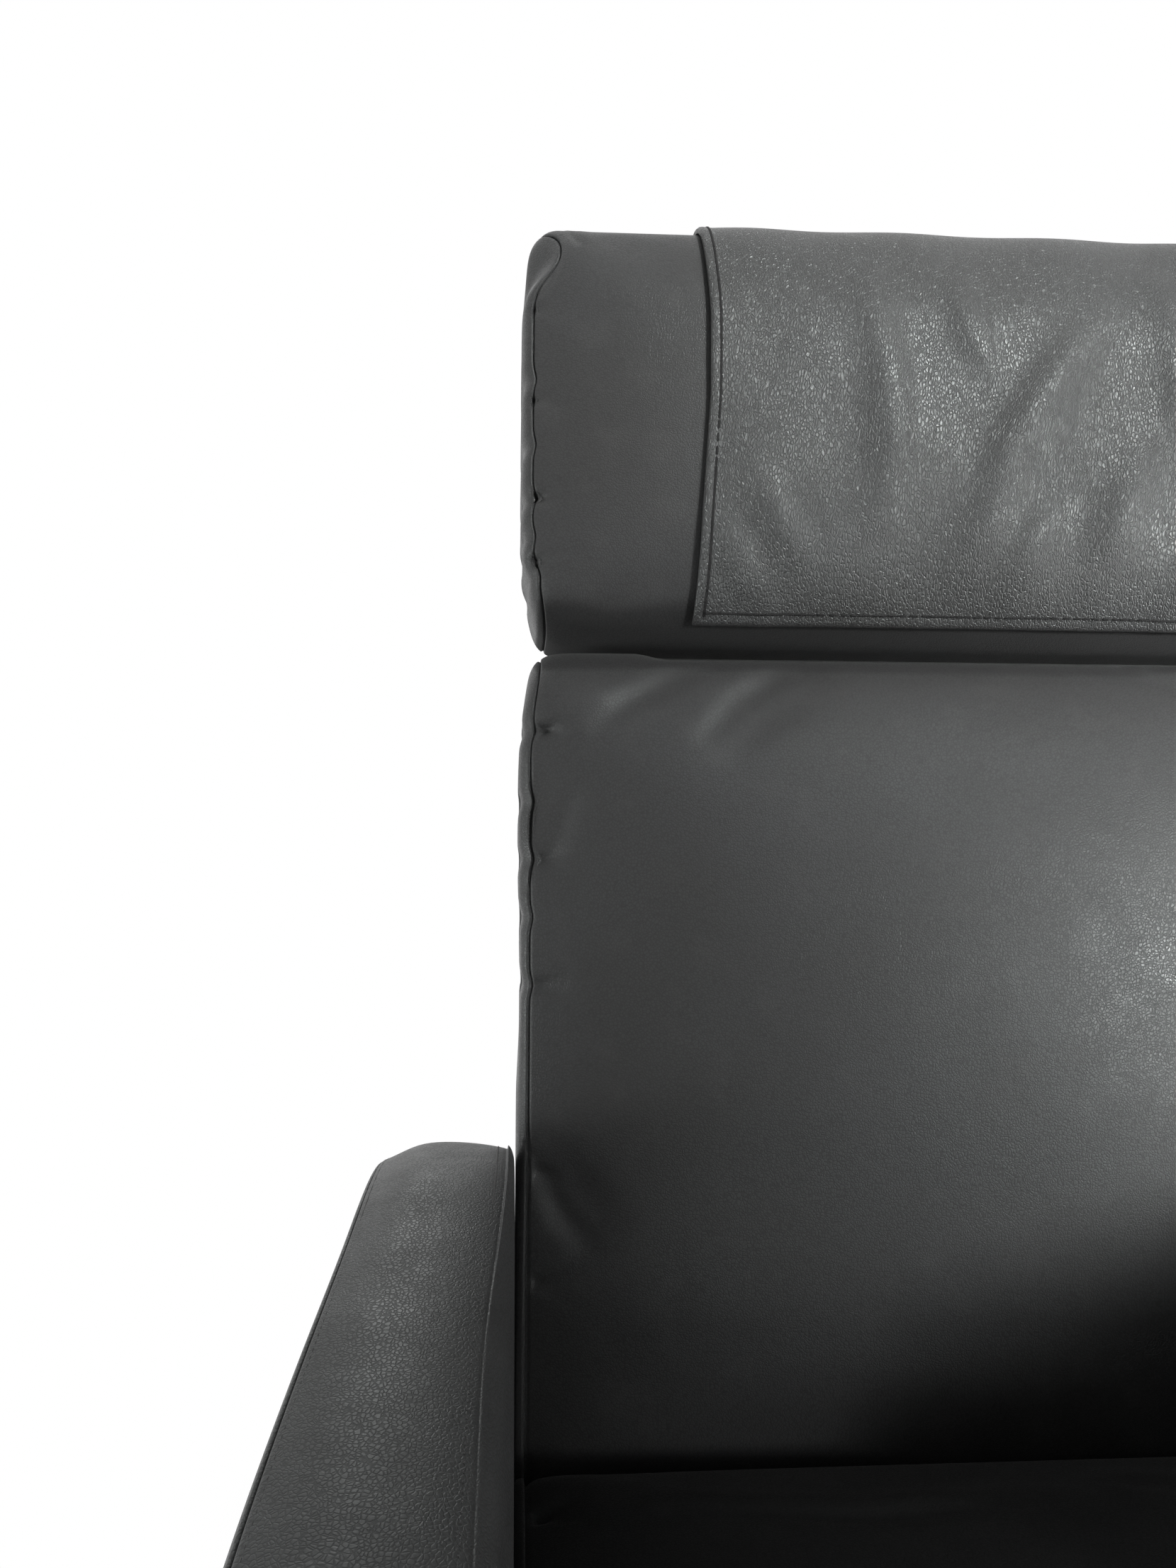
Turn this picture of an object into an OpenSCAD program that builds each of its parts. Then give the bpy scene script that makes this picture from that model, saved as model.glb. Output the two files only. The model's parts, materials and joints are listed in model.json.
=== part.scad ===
// Upholstered zero gravity recliner with a lever-released tilting seat.
// The chair faces -Y, +Z is up and the origin is on the floor under the middle of its box.
// The seat tilts on the base, and links open the back and raise the legrest with it.

/* [Overall] */
// Clear width between the arms
seat_gap = 566; // [540:1:620]
// Distance of the crease between seat and back behind the origin
crease_y = 100; // [80:1:120]
// Height of that crease above the floor
crease_h = 400; // [390:1:420]
// Rise of the seat towards the front, in degrees
seat_pitch = 6; // [5:0.5:7]
// Lean of the back behind upright, in degrees
back_pitch = 15; // [14:0.5:16]
// Gap between a cushion and the arm beside it
side_gap = 4; // [2:0.5:6]

/* [Seat] */
// Depth of the seat cushion from the crease
seat_depth = 508; // [490:1:530]
// Thickness of the seat cushion
seat_t = 110; // [100:1:118]
// Crown of the seat cushion
seat_crown = 14; // [6:1:20]

/* [Back] */
// Height of the back cushion above the crease
back_h = 470; // [440:1:490]
// Length of the back cushion below the crease
back_low = 50; // [40:1:52]
// Thickness of the back cushion
back_t = 105; // [95:1:115]
// Crown of the back cushion
back_crown = 26; // [10:1:32]
// Depth of the rear cover behind the back cushion
cover_depth = 34; // [32:1:40]

/* [Headrest] */
// Gap between back cushion and head cushion
head_gap = 4; // [4:0.5:6]
// Height of the head cushion
head_h = 271; // [250:1:290]
// Thickness of the head cushion
head_t = 110; // [104:1:120]
// Crown of the head cushion
head_crown = 14; // [6:1:20]
// Width of the leather flap over the head cushion
flap_w = 360; // [300:1:420]
// Thickness of that flap
flap_t = 4; // [3:0.5:6]
// Length of the flap behind the head cushion
flap_drop = 150; // [120:1:180]

/* [Arms] */
// Width of an arm
arm_w = 90; // [84:1:110]
// Length of an arm in front of the crease
arm_front = 500; // [480:1:512]
// Length of an arm behind the crease
arm_rear = 150; // [130:1:180]
// Height of an arm
arm_h = 606; // [580:1:640]
// Radius of the arm's rear upper corner
arm_rear_r = 240; // [200:1:300]
// Radius of the arm's front upper corner
arm_front_r = 90; // [60:1:120]
// Thickness of padding over the arm's wooden core
arm_pad_t = 15; // [12:1:18]
// Width of the core's rails
core_rail = 45; // [40:1:60]
// Thickness of the core's plywood web
core_web = 9; // [6:1:12]

/* [Legrest] */
// Radius of the legrest's rounded top edge
leg_nose = 33; // [31:1:36]
// Height of the legrest's lower end above the floor
leg_floor = 55; // [45:1:80]
// Thickness of the plywood boards
board_t = 12; // [10:1:13]

/* [Mechanism] */
// Thickness of the base and seat side plates
plate_t = 5; // [4:0.5:5]
// Thickness of the links, ears and crank arms
link_t = 4; // [3:0.5:4]
// Running gap between neighbouring plates
layer_gap = 2; // [1.5:0.5:2]
// Gap between a seat side plate and the arm
plate_clear = 5; // [4:0.5:6]
// Diameter of the main pivot pins
pivot_d = 12; // [10:1:14]
// Diameter of the link pins
link_pin_d = 8; // [6:1:10]
// Half width of a link bar
link_r = 11; // [10:0.5:12]
// Diameter of the round frame tubes
tube_d = 25; // [20:1:28]
// Height of the rectangular base tubes
rail_h = 40; // [30:1:50]
// Width of the rectangular base tubes
rail_w = 28; // [24:1:30]
// Height of the feet
foot_h = 50; // [40:1:60]
// Diameter of a foot's sole
foot_d = 46; // [36:1:60]

/* [Hidden] */
$fn = 48;
fit = 0.3;            // clearance between neighbouring soft or seated pieces
run = 0.05;           // radial running clearance of a pin in its hole
press = 0.01;         // radial clearance of a pin that is pressed or welded in
joint_line = 0.1;     // gap in a glued or butted joint
wall = 2;             // wall of the rectangular tubes
head_flange = 3;      // thickness of a pin's head
slot_spare = 3.2;     // lost motion of the legrest link's slot, each way
eye_spare = 1.1;      // play of an open link eye, each way
nose_clear = 2.5;     // gap that the turning legrest's top keeps below its swing circle

arm_in = seat_gap / 2;
arm_out = arm_in + arm_w;
cushion_x = arm_in - side_gap;
seat_plate_x = arm_in - plate_clear - plate_t;
ear_x = seat_plate_x - layer_gap - link_t;
base_plate_x = ear_x - layer_gap - plate_t;
link_x = base_plate_x - layer_gap - link_t;
pin_head_x = seat_plate_x + plate_t;

// Side-view points are [y, z]; local axes are +y rearwards and +z up along the seat or back.
function turned(p, a) = [p.x * cos(a) + p.y * sin(a), -p.x * sin(a) + p.y * cos(a)];
function from_seat(y, z) = [crease_y, crease_h] + turned([y, z], seat_pitch);
function from_back(y, z) = [crease_y, crease_h] + turned([y, z], back_pitch);

deck_gap = 2;         // room for the webbing between cushion and deck
deck_t = 18;
rail_z = 62;
gas_eye_rise = 20;    // distance of a gas spring pin from the face that its lugs stand on

tilt_pivot = [crease_y - 180, 230];
back_pivot = from_back(52, -95);
leg_pivot = from_seat(-seat_depth, -seat_t) + [leg_nose, -(leg_nose + 3)];
back_crank = back_pivot + [-74.5, -47];
leg_crank = leg_pivot + [39, 9];
back_link_base = [crease_y + 80, 215];
leg_link_base = [crease_y - 120, 176];
gas_base = [crease_y - 340, rail_z + rail_h + gas_eye_rise];
gas_seat_y = -405;
gas_seat = from_seat(gas_seat_y, -seat_t - deck_gap - deck_t - gas_eye_rise);
front_tube = from_seat(-280, -seat_t - deck_gap - deck_t - fit - tube_d / 2);
rear_tube = from_seat(-120, -seat_t - deck_gap - deck_t - fit - tube_d / 2);

// Head: heights along the back from the crease, and the tilt axis in back coordinates.
head_z0 = back_h + head_gap;
head_z1 = head_z0 + head_h;
head_x = cushion_x + 4; // half width of the head cushion, which stands above the arms
head_edge = 48;       // depth of the head cushion's rounded edges
head_side = 22;       // how far they reach in from its sides
head_roll = 46;       // and from its top and bottom
head_axis = [head_t / 2, head_z0 + 50];
hinge_x = 127;
hinge_t = 5;
hinge_gap = 1.5;
slot_x = 14;
back_tube_y = back_t + 13.5;
back_tube_r = 11;
back_top_z = back_h - 34;
back_low_z = -62;
back_upright_x = 235;
cover_plate = 8;
cover_rim = 10;
head_cover_depth = back_tube_y - head_t + 17.5;

rail_front = crease_y - 370;
rail_rear = crease_y + 120;
rail_x = base_plate_x - rail_w;
front_cross_y = gas_base.x;
rear_cross_y = crease_y + 100;
boss_d = 30;
bolt_d = 8;
boss_ys = [crease_y - 260, crease_y + 60];
boss_z = rail_z + rail_h / 2;

core_in = arm_in + arm_pad_t;
core_out = arm_out - arm_pad_t;
core_x = (core_in + core_out) / 2;
arm_bottom = foot_h + 2;
arm_crown = 4;
foot_ys = [crease_y - arm_front + 70, crease_y + arm_rear - 70];

cup_y = crease_y - 250;
cup_z = 400;
cup_l = 120;
cup_h = 76;
cup_wall = 3;
cup_depth = 48;
cup_face = arm_out + arm_crown;
cup_rim = 8;
cup_flange = 3;
handle_l = 78;
handle_h = 24;
handle_t = 6;
handle_pin_d = 6;
handle_pin = [cup_face - 10, cup_z + cup_h / 2 - cup_rim - cup_wall - 7.5];

gas_lug_t = 5;
gas_lug_xs = [-17, 12];
gas_eye_spare = 1.6;

deck_x = link_x - 4;
deck_rail = 45;
deck_front = -seat_depth + 2 * leg_nose + 12;
deck_rear = -20;
strap_t = 1.6;
strap_w = 60;

// Shared placing and shapes

module both_sides() {
    children();
    mirror([1, 0, 0]) children();
}

// A plate in the side view: 2D x runs along Y, 2D y along Z, and the plate spans x to x + t.
module side_plate(x, t) {
    translate([x, 0, 0]) rotate([90, 0, 90]) linear_extrude(t) children();
}

// A round bar along X at a side-view point.
module cross_bar(p, x0, x1, d) {
    translate([x0, p.x, p.y]) rotate([0, 90, 0]) cylinder(d = d, h = x1 - x0);
}

module on_seat() {
    translate([0, crease_y, crease_h]) rotate([-seat_pitch, 0, 0]) children();
}

module on_back() {
    translate([0, crease_y, crease_h]) rotate([-back_pitch, 0, 0]) children();
}

// A flat bar with round ends in 2D.
module bar2d(p, q, r) {
    d = q - p;
    translate(p) rotate(atan2(d.y, d.x)) {
        translate([0, -r]) square([norm(d), 2 * r]);
        circle(r);
        translate([norm(d), 0]) circle(r);
    }
}

module round_rect(w, h, r) {
    square([w - 2 * r, h], center = true);
    square([w, h - 2 * r], center = true);
    for (x = [-1, 1], y = [-1, 1]) translate([x * (w / 2 - r), y * (h / 2 - r)]) circle(r);
}

module rect_tube(size) {
    inner = size - [2 * wall, 2 * wall];
    linear_extrude(size.z) difference() {
        square([size.x, size.y], center = true);
        square([inner.x, inner.y], center = true);
    }
}

// Soft forms: a closed skin of rings that run round an outline of corner circles [centre, radius].

function cyc(list, i) = list[(i + len(list)) % len(list)];
function edge_angle(corners, i) =
    let (a = cyc(corners, i), b = cyc(corners, i + 1), d = b[0] - a[0])
    atan2(d.y, d.x) - 90 + asin((a[1] - b[1]) / norm(d));
function after(a, b) = b < a - 0.001 ? after(a, b + 360) : b;
function spoke(a) = [cos(a), sin(a)];
// Points of the outline as [position, outward normal], with bowed edges between the corner arcs.
function outline(corners, arc_n, edge_n, bow) = [
    for (i = [0 : len(corners) - 1])
        let (a0 = edge_angle(corners, i - 1), a1 = after(a0, edge_angle(corners, i)),
            here = corners[i], next = cyc(corners, i + 1),
            p = here[0] + here[1] * spoke(a1), q = next[0] + next[1] * spoke(a1))
        each concat(
            [for (k = [0 : arc_n]) let (a = a0 + (a1 - a0) * k / arc_n)
                [here[0] + here[1] * spoke(a), spoke(a)]],
            [for (k = [1 : edge_n]) let (t = k / (edge_n + 1))
                [p + (q - p) * t + spoke(a1) * bow * 4 * t * (1 - t), spoke(a1)]])];

// How far a rounded edge reaches in from the outline, between its side and end values.
function reach(n, side, end) = side * n.x * n.x + end * n.y * n.y;

// One ring: [scale, share of the edge reach, extra inset, depth]
function ring_points(ring, line, mid, side, end) = [
    for (v = line)
        let (p = v[0] - v[1] * (ring[1] * reach(v[1], side, end) + ring[2]),
            s = mid + (p - mid) * ring[0])
        [s.x, s.y, ring[3]]];

// Rings of a cushion from its front face at depth 0 to its rear face at depth t.
function cushion_rings(t, edge_d, rear_d, crown, rear_crown, pull, steps) = concat(
    [for (s = [0.4, 0.72, 0.92]) [s, 1, 0, -crown * (1 - s * s)]],
    [for (k = [0 : steps]) let (a = 90 * k / steps) [1, 1 - sin(a), 0, edge_d * (1 - cos(a))]],
    [[1, 0, pull, (edge_d + t - rear_d) / 2]],
    [for (k = [steps : -1 : 0]) let (a = 90 * k / steps)
        [1, (1 - sin(a)) * rear_d / edge_d, 0, t - rear_d * (1 - cos(a))]],
    [for (s = [0.92, 0.6]) [s, rear_d / edge_d, 0, t + rear_crown * (1 - s * s)]]);

// A seat cushion's rear end slants by lean to lie along the back, and its front end stays upright.
function slanted(p, lean) = [p.x, p.y - (1 + p.y / seat_depth) * p.z * lean, p.z];

module cushion(corners, mid, t, edge_d, side, end, crown, rear_crown, pull, bow = 0, rear_edge = 0,
        steps = 3, arc_n = 3, edge_n = 5, lean = 0) {
    line = outline(corners, arc_n, edge_n, bow);
    rear_d = rear_edge > 0 ? rear_edge : edge_d;
    rings = cushion_rings(t, edge_d, rear_d, crown, rear_crown, pull, steps);
    m = len(line);
    last = len(rings) - 1;
    body = [for (r = rings) each ring_points(r, line, mid, side, end)];
    poles = [[mid.x, mid.y, -crown], [mid.x, mid.y, t + rear_crown]];
    points = [for (p = concat(body, poles)) slanted(p, lean)];
    sides = [for (j = [0 : last - 1], i = [0 : m - 1])
        let (a = j * m + i, b = j * m + (i + 1) % m, c = b + m, d = a + m) each [[a, d, c], [a, c, b]]];
    front = [for (i = [0 : m - 1]) [m * len(rings), i, (i + 1) % m]];
    rear = [for (i = [0 : m - 1]) [m * len(rings) + 1, last * m + (i + 1) % m, last * m + i]];
    polyhedron(points, concat(sides, front, rear), convexity = 4);
}

function box_corners(x0, x1, y0, y1, r) =
    [[[x0 + r, y0 + r], r], [[x1 - r, y0 + r], r], [[x1 - r, y1 - r], r], [[x0 + r, y1 - r], r]];

// A cushion that stands in the XZ plane with its front face at local y = 0.
module standing_cushion(x, z0, z1, r, t, edge_d, side, end, crown, rear_crown, pull, bow, rear_edge = 0) {
    multmatrix([[1, 0, 0, 0], [0, 0, 1, 0], [0, 1, 0, 0]])
        cushion(box_corners(-x, x, z0, z1, r), [0, (z0 + z1) / 2], t, edge_d, side, end, crown,
            rear_crown, pull, bow, rear_edge);
}

// A tube with flat ends along a list of points.
function unit(v) = v / norm(v);
function heading(p, i) = unit(p[min(i + 1, len(p) - 1)] - p[max(i - 1, 0)]);
module swept_tube(path, r, sides) {
    rings = [for (i = [0 : len(path) - 1])
        let (d = heading(path, i), u = unit(cross(d, [0.3, 0.9, 0.31])), v = cross(d, u))
        for (k = [0 : sides - 1]) path[i] + r * (u * cos(360 * k / sides) + v * sin(360 * k / sides))];
    last = (len(path) - 1) * sides;
    walls = [for (j = [0 : len(path) - 2], k = [0 : sides - 1])
        let (a = j * sides + k, b = j * sides + (k + 1) % sides)
        each [[a, b, b + sides], [a, b + sides, a + sides]]];
    caps = [for (k = [1 : sides - 2]) each [[0, k + 1, k], [last, last + k, last + k + 1]]];
    polyhedron(rings, concat(walls, caps), convexity = 6);
}

// Base

module base_rails() {
    color("dimgray") both_sides() difference() {
        translate([rail_x + rail_w / 2, rail_front, boss_z]) rotate([-90, 0, 0])
            rect_tube([rail_w, rail_h, rail_rear - rail_front]);
        for (y = boss_ys) cross_bar([y, boss_z], rail_x - 1, base_plate_x + 1, bolt_d + 1);
    }
}

module base_cross_tubes() {
    color("dimgray") for (y = [front_cross_y, rear_cross_y])
        translate([-rail_x, y, boss_z]) rotate([0, 90, 0]) rect_tube([rail_h, rail_w, 2 * rail_x]);
}

module base_plate_2d() {
    foot_z = rail_z + 4;
    polygon([[tilt_pivot.x - 45, foot_z], [back_link_base.x + 8, foot_z],
        [back_link_base.x + 8, back_link_base.y], [back_link_base.x - 15, back_link_base.y],
        [back_link_base.x - 45, 165], [leg_link_base.x + 25, 165],
        [tilt_pivot.x + 24, tilt_pivot.y], [tilt_pivot.x - 24, tilt_pivot.y]]);
    translate(tilt_pivot) circle(24);
    translate(back_link_base) circle(15);
    translate(leg_link_base) circle(18);
}

module base_side_plates() {
    windows = [[crease_y - 60, 125], [crease_y + 15, 125], [crease_y - 175, 150]];
    color("dimgray") both_sides() side_plate(base_plate_x, plate_t) difference() {
        base_plate_2d();
        translate(tilt_pivot) circle(d = pivot_d + 2 * press);
        for (p = [back_link_base, leg_link_base]) translate(p) circle(d = link_pin_d + 2 * press);
        for (p = windows) translate(p) circle(20);
        for (y = boss_ys) translate([y, boss_z]) circle(d = bolt_d + 1);
    }
}

// Welded tubes that carry an arm on its base rail, through the padding to the wooden core.
module arm_spacers() {
    color("dimgray") both_sides() for (y = boss_ys) difference() {
        cross_bar([y, boss_z], base_plate_x + plate_t * (y > crease_y - 225 ? 1 : 0), core_in, boss_d);
        cross_bar([y, boss_z], base_plate_x - 1, core_in + 1, bolt_d + 1);
    }
}

module arm_bolts() {
    color("silver") both_sides() for (y = boss_ys) {
        cross_bar([y, boss_z], rail_x - 6, core_in + core_web, bolt_d);
        translate([rail_x - 6, y, boss_z]) rotate([0, 90, 0]) cylinder(d = 15, h = 6, $fn = 6);
    }
}

// Outline of the arm in the side view, as corner circles
function arm_corners(inset) =
    let (y0 = crease_y - arm_front, y1 = crease_y + arm_rear, low = 30)
    [[[y0 + low, arm_bottom + low], low - inset], [[y1 - low, arm_bottom + low], low - inset],
     [[y1 - arm_rear_r, arm_h - arm_rear_r], arm_rear_r - inset],
     [[y0 + arm_front_r, arm_h - arm_front_r], arm_front_r - inset]];

// Straight-edged outline of an arm that lies inset from its skin, down to the height z.
module arm_inner_2d(inset, z) {
    c = arm_corners(inset);
    y0 = crease_y - arm_front + inset;
    y1 = crease_y + arm_rear - inset;
    top = arm_h - inset;
    difference() {
        union() {
            translate([y0, z]) square([y1 - y0, c[2][0].y - z]);
            translate([y0, c[2][0].y]) square([c[2][0].x - y0, c[3][0].y - c[2][0].y]);
            translate([c[3][0].x, c[3][0].y]) square([c[2][0].x - c[3][0].x, top - c[3][0].y]);
            for (k = [2, 3]) translate(c[k][0]) circle(c[k][1], $fn = 96);
        }
        translate([y0 - 1, z - 2 * arm_rear_r]) square([y1 - y0 + 2, 2 * arm_rear_r]);
    }
}

// Plywood box frame: a rail round the outline, and a web on the side of the seat.
module arm_core() {
    color("burlywood") difference() {
        side_plate(core_in, core_out - core_in) difference() {
            arm_inner_2d(arm_pad_t, foot_h);
            arm_inner_2d(arm_pad_t + core_rail, foot_h + core_rail);
        }
        for (y = boss_ys) cross_bar([y, boss_z], core_in - 1, core_out + 1, bolt_d + 2 * press);
    }
    color("burlywood") side_plate(core_in, core_web) difference() {
        arm_inner_2d(arm_pad_t + core_rail - 1, foot_h + core_rail - 1);
        translate([crease_y - 90, 250]) circle(60);
        translate([crease_y - 300, 250]) circle(60);
    }
}

module arm_pad() {
    mid = [crease_y - 150, 300];
    color("dimgray") difference() {
        translate([arm_in, 0, 0]) rotate([90, 0, 90])
            cushion(arm_corners(0), mid, arm_w, 20, 13, 13, 0, arm_crown, -5, arc_n = 5, edge_n = 2);
        side_plate(core_in - fit, core_out - core_in + 2 * fit)
            arm_inner_2d(arm_pad_t - fit, arm_bottom - 10);
        for (y = boss_ys) cross_bar([y, boss_z], arm_in - 1, core_in + 1, boss_d + 2);
    }
}

module arm_left_core() { arm_core(); }
module arm_right_core() {
    mirror([1, 0, 0]) difference() {
        arm_core();
        cross_bar(cable_hole, core_in - 1, core_in + core_web + 1, cable_d + 5);
    }
}
module arm_left_pad() { arm_pad(); }
module arm_right_pad() {
    mirror([1, 0, 0]) difference() {
        arm_pad();
        cross_bar(cable_hole, arm_in - 1, core_in + 1, cable_d + 5);
        cup_shape(fit, cup_face - cup_flange - fit, cup_face + 1);
        cup_shape(fit - cup_rim, core_out - 1, cup_face + 1);
    }
}

module feet() {
    stem = 12;
    color("black") for (x = [-core_x, core_x], y = foot_ys) translate([x, y, 0])
        rotate_extrude() polygon([[0, 0], [foot_d / 2 - 2, 0], [foot_d / 2, 2], [foot_d / 2 - 1, stem],
            [foot_d / 2 - 6, foot_h], [0, foot_h]]);
}

// A pin along X with its head at the high-x end.
module headed_pin(p, x0, x1, d) {
    cross_bar(p, x0, x1, d);
    cross_bar(p, x1, x1 + head_flange, d + 8);
}

module tilt_pins() {
    color("silver") both_sides() headed_pin(tilt_pivot, base_plate_x, pin_head_x + fit, pivot_d);
}

// Flanged bushes in the seat plates, which also keep those plates off the base plates.
module tilt_bushes() {
    sleeve = pivot_d + 4;
    color("ivory") both_sides() difference() {
        union() {
            cross_bar(tilt_pivot, base_plate_x + plate_t + fit, seat_plate_x, sleeve + 8);
            cross_bar(tilt_pivot, seat_plate_x, pin_head_x, sleeve);
        }
        cross_bar(tilt_pivot, base_plate_x, pin_head_x + 1, pivot_d + 2 * run);
    }
}

// A shouldered link pin: pressed in at its high-x end, with its head past the link.
module link_pin(p, x1) {
    cross_bar(p, link_x - fit, x1, link_pin_d);
    cross_bar(p, link_x - fit - head_flange, link_x - fit, link_pin_d + 8);
}

module link_base_pins() {
    color("silver") both_sides()
        for (p = [back_link_base, leg_link_base]) link_pin(p, base_plate_x + plate_t);
}

// Release handle in the sitter's right arm, with its cable to the gas spring

module cup_shape(grow, x0, x1) {
    translate([x0, cup_y, cup_z]) rotate([90, 0, 90]) linear_extrude(x1 - x0)
        round_rect(cup_l + 2 * grow, cup_h + 2 * grow, 10);
}

module handle_cup() {
    color("black") mirror([1, 0, 0]) difference() {
        union() {
            cup_shape(-cup_rim, cup_face - cup_depth, cup_face - cup_flange);
            cup_shape(0, cup_face - cup_flange, cup_face);
        }
        cup_shape(-cup_rim - cup_wall, cup_face - cup_depth + cup_wall, cup_face + 1);
        translate([handle_pin.x, cup_y - cup_l / 2, handle_pin.y]) rotate([-90, 0, 0])
            cylinder(d = handle_pin_d + 2 * press, h = cup_l);
    }
}

module handle_pin() {
    half = cup_l / 2 - cup_rim;
    color("silver") translate([-handle_pin.x, cup_y - half, handle_pin.y]) rotate([-90, 0, 0])
        cylinder(d = handle_pin_d, h = 2 * half);
}

// Pull paddle: a bored knuckle at its top and a finger lip at its lower edge.
module release_handle() {
    low = handle_pin.y - handle_h;
    color("dimgray") mirror([1, 0, 0]) translate([0, cup_y + handle_l / 2, 0]) rotate([90, 0, 0])
        linear_extrude(handle_l) difference() {
            union() {
                translate(handle_pin) circle(6.5);
                translate([handle_pin.x + 0.5, low]) square([handle_t, handle_h]);
                translate([handle_pin.x - 3, low]) square([6, 5]);
                translate([handle_pin.x - 3, low + 2.5]) circle(2.5);
            }
            translate(handle_pin) circle(d = handle_pin_d + 2 * run);
        }
}

// Cable route from the cup, down inside the arm, through its wall and along the front base tube
cable_path = [[-328, -150, 400], [-322, -150, 400], [-317, -151, 396], [-314, -153, 388],
    [-313, -157, 370], [-313, -167, 340], [-313, -179, 300], [-313, -191, 260], [-313, -201, 220],
    [-313, -209, 180], [-313, -213, 150], [-313, -215, 132], [-311, -216, 124], [-306, -216, 120],
    [-298, -216, 119], [-280, -216, 119], [-266, -218, 118], [-252, -223, 115], [-238, -229, 111],
    [-220, -236, 107], [-205, -239, 105], [-190, -240, 105], [-120, -240, 105], [-100, -240, 106],
    [-86, -240, 110], [-74, -240, 115], [-66, -240, 118], [-58, -240, 119]];
cable_d = 5;
cable_hole = [-216, 119];
cable_clip_xs = [-180, -132];
cable_end = cable_path[len(cable_path) - 1];

module release_cable() {
    color("black") swept_tube(cable_path, cable_d / 2, 8);
}

// Bracket that holds the end of the cable's sleeve beside the gas spring's release lever
module cable_stop() {
    color("silver") difference() {
        translate([cable_end.x + fit, cable_end.y - 8, rail_z + rail_h]) cube([4, 16, 26]);
        translate([cable_end.x, cable_end.y, cable_end.z]) rotate([0, 90, 0]) cylinder(d = 2.4, h = 6);
    }
}

module cable_clips() {
    color("black") for (x = cable_clip_xs) difference() {
        translate([x - 4, cable_end.y - 6, rail_z + rail_h]) cube([8, 12, 9]);
        translate([x - 5, cable_end.y, 105]) rotate([0, 90, 0]) cylinder(d = cable_d + 0.2, h = 10);
    }
}

// Seat

module seat_plate_2d() {
    ear = 20;
    polygon([leg_pivot + [0, ear - 2], from_seat(-455, -seat_t - 4), from_seat(-12, -seat_t - 4),
        back_pivot + [-6, 20], back_pivot + [ear, 0], back_pivot + [6, -20],
        tilt_pivot + [24, -14], tilt_pivot + [-24, -14], leg_pivot + [0, -ear + 2]]);
    translate(leg_pivot) circle(ear);
    translate(back_pivot) circle(ear + 1);
    translate(tilt_pivot) circle(26);
}

module seat_side_plates() {
    windows = [from_seat(-370, -seat_t - 38), from_seat(-215, -seat_t - 40), from_seat(-70, -seat_t - 32)];
    color("dimgray") both_sides() side_plate(seat_plate_x, plate_t) difference() {
        seat_plate_2d();
        translate(tilt_pivot) circle(d = pivot_d + 4 + 2 * press);
        for (p = [leg_pivot, back_pivot]) translate(p) circle(d = pivot_d + 2 * press);
        for (p = windows) translate(p) circle(13);
    }
}

module seat_cross_tubes() {
    color("dimgray") for (p = [front_tube, rear_tube]) difference() {
        cross_bar(p, -seat_plate_x, seat_plate_x, tube_d);
        cross_bar(p, -seat_plate_x - 1, seat_plate_x + 1, tube_d - 2 * wall);
    }
}

// Four timber rails under the cushion; the wide front one also carries the gas spring.
module seat_deck_rails() {
    low = -seat_t - deck_gap - deck_t;
    inner = deck_x - deck_rail;
    between = 2 * (inner - joint_line);
    front_rail = 120;
    color("burlywood") on_seat() {
        for (x = [-deck_x, inner]) translate([x, deck_front, low])
            cube([deck_rail, deck_rear - deck_front, deck_t]);
        translate([-between / 2, deck_front, low]) cube([between, front_rail, deck_t]);
        translate([-between / 2, deck_rear - deck_rail, low]) cube([between, deck_rail, deck_t]);
    }
}

module seat_webbing() {
    first = deck_front + 125;
    count = 4;
    step = (deck_rear - deck_rail - first) / count;
    color("black") on_seat() for (i = [0 : count - 1])
        translate([-deck_x + 8, first + i * step + 4, -seat_t - deck_gap]) cube([2 * deck_x - 16, strap_w, strap_t]);
}

module seat_cushion() {
    gap = 3;
    color("black") on_seat() mirror([0, 0, 1])
        cushion(box_corners(-cushion_x, cushion_x, -seat_depth, -gap, 34), [0, -seat_depth / 2], seat_t,
            34, 24, 34, seat_crown, 0, 3, bow = -2, lean = tan(back_pitch - seat_pitch));
}

// U bracket screwed under the deck's front rail
module gas_seat_bracket() {
    low = -seat_t - deck_gap - deck_t;
    color("dimgray") difference() {
        union() {
            on_seat() translate([-22, gas_seat_y - 20, low - 4]) cube([44, 40, 4]);
            for (x = gas_lug_xs) side_plate(x, gas_lug_t)
                polygon([from_seat(gas_seat_y - 16, low - 4), from_seat(gas_seat_y + 16, low - 4),
                    gas_seat + [11, -8], gas_seat + [-11, -8]]);
        }
        cross_bar(gas_seat, -30, 30, link_pin_d + 2 * press);
    }
}

module gas_seat_pin() {
    color("silver") cross_bar(gas_seat, -19, 19, link_pin_d);
}

module gas_base_lugs() {
    color("dimgray") for (x = gas_lug_xs) side_plate(x, gas_lug_t) difference() {
        union() {
            translate(gas_base) circle(11);
            translate([gas_base.x - 11, rail_z + rail_h]) square([22, gas_base.y - rail_z - rail_h]);
        }
        translate(gas_base) circle(d = link_pin_d + 2 * press);
    }
}

module gas_base_pin() {
    color("silver") cross_bar(gas_base, -19, 19, link_pin_d);
}

// Gas spring: local z runs from the base pin to the seat pin.
gas_len = norm(gas_seat - gas_base);
gas_angle = atan2(gas_seat.x - gas_base.x, gas_seat.y - gas_base.y);
gas_d = 24;
rod_d = 10;
gland = 10;
gas_low = 34;
gas_top = gas_len - 14;

module on_gas() {
    translate([0, gas_base.x, gas_base.y]) rotate([-gas_angle, 0, 0]) children();
}

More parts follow.
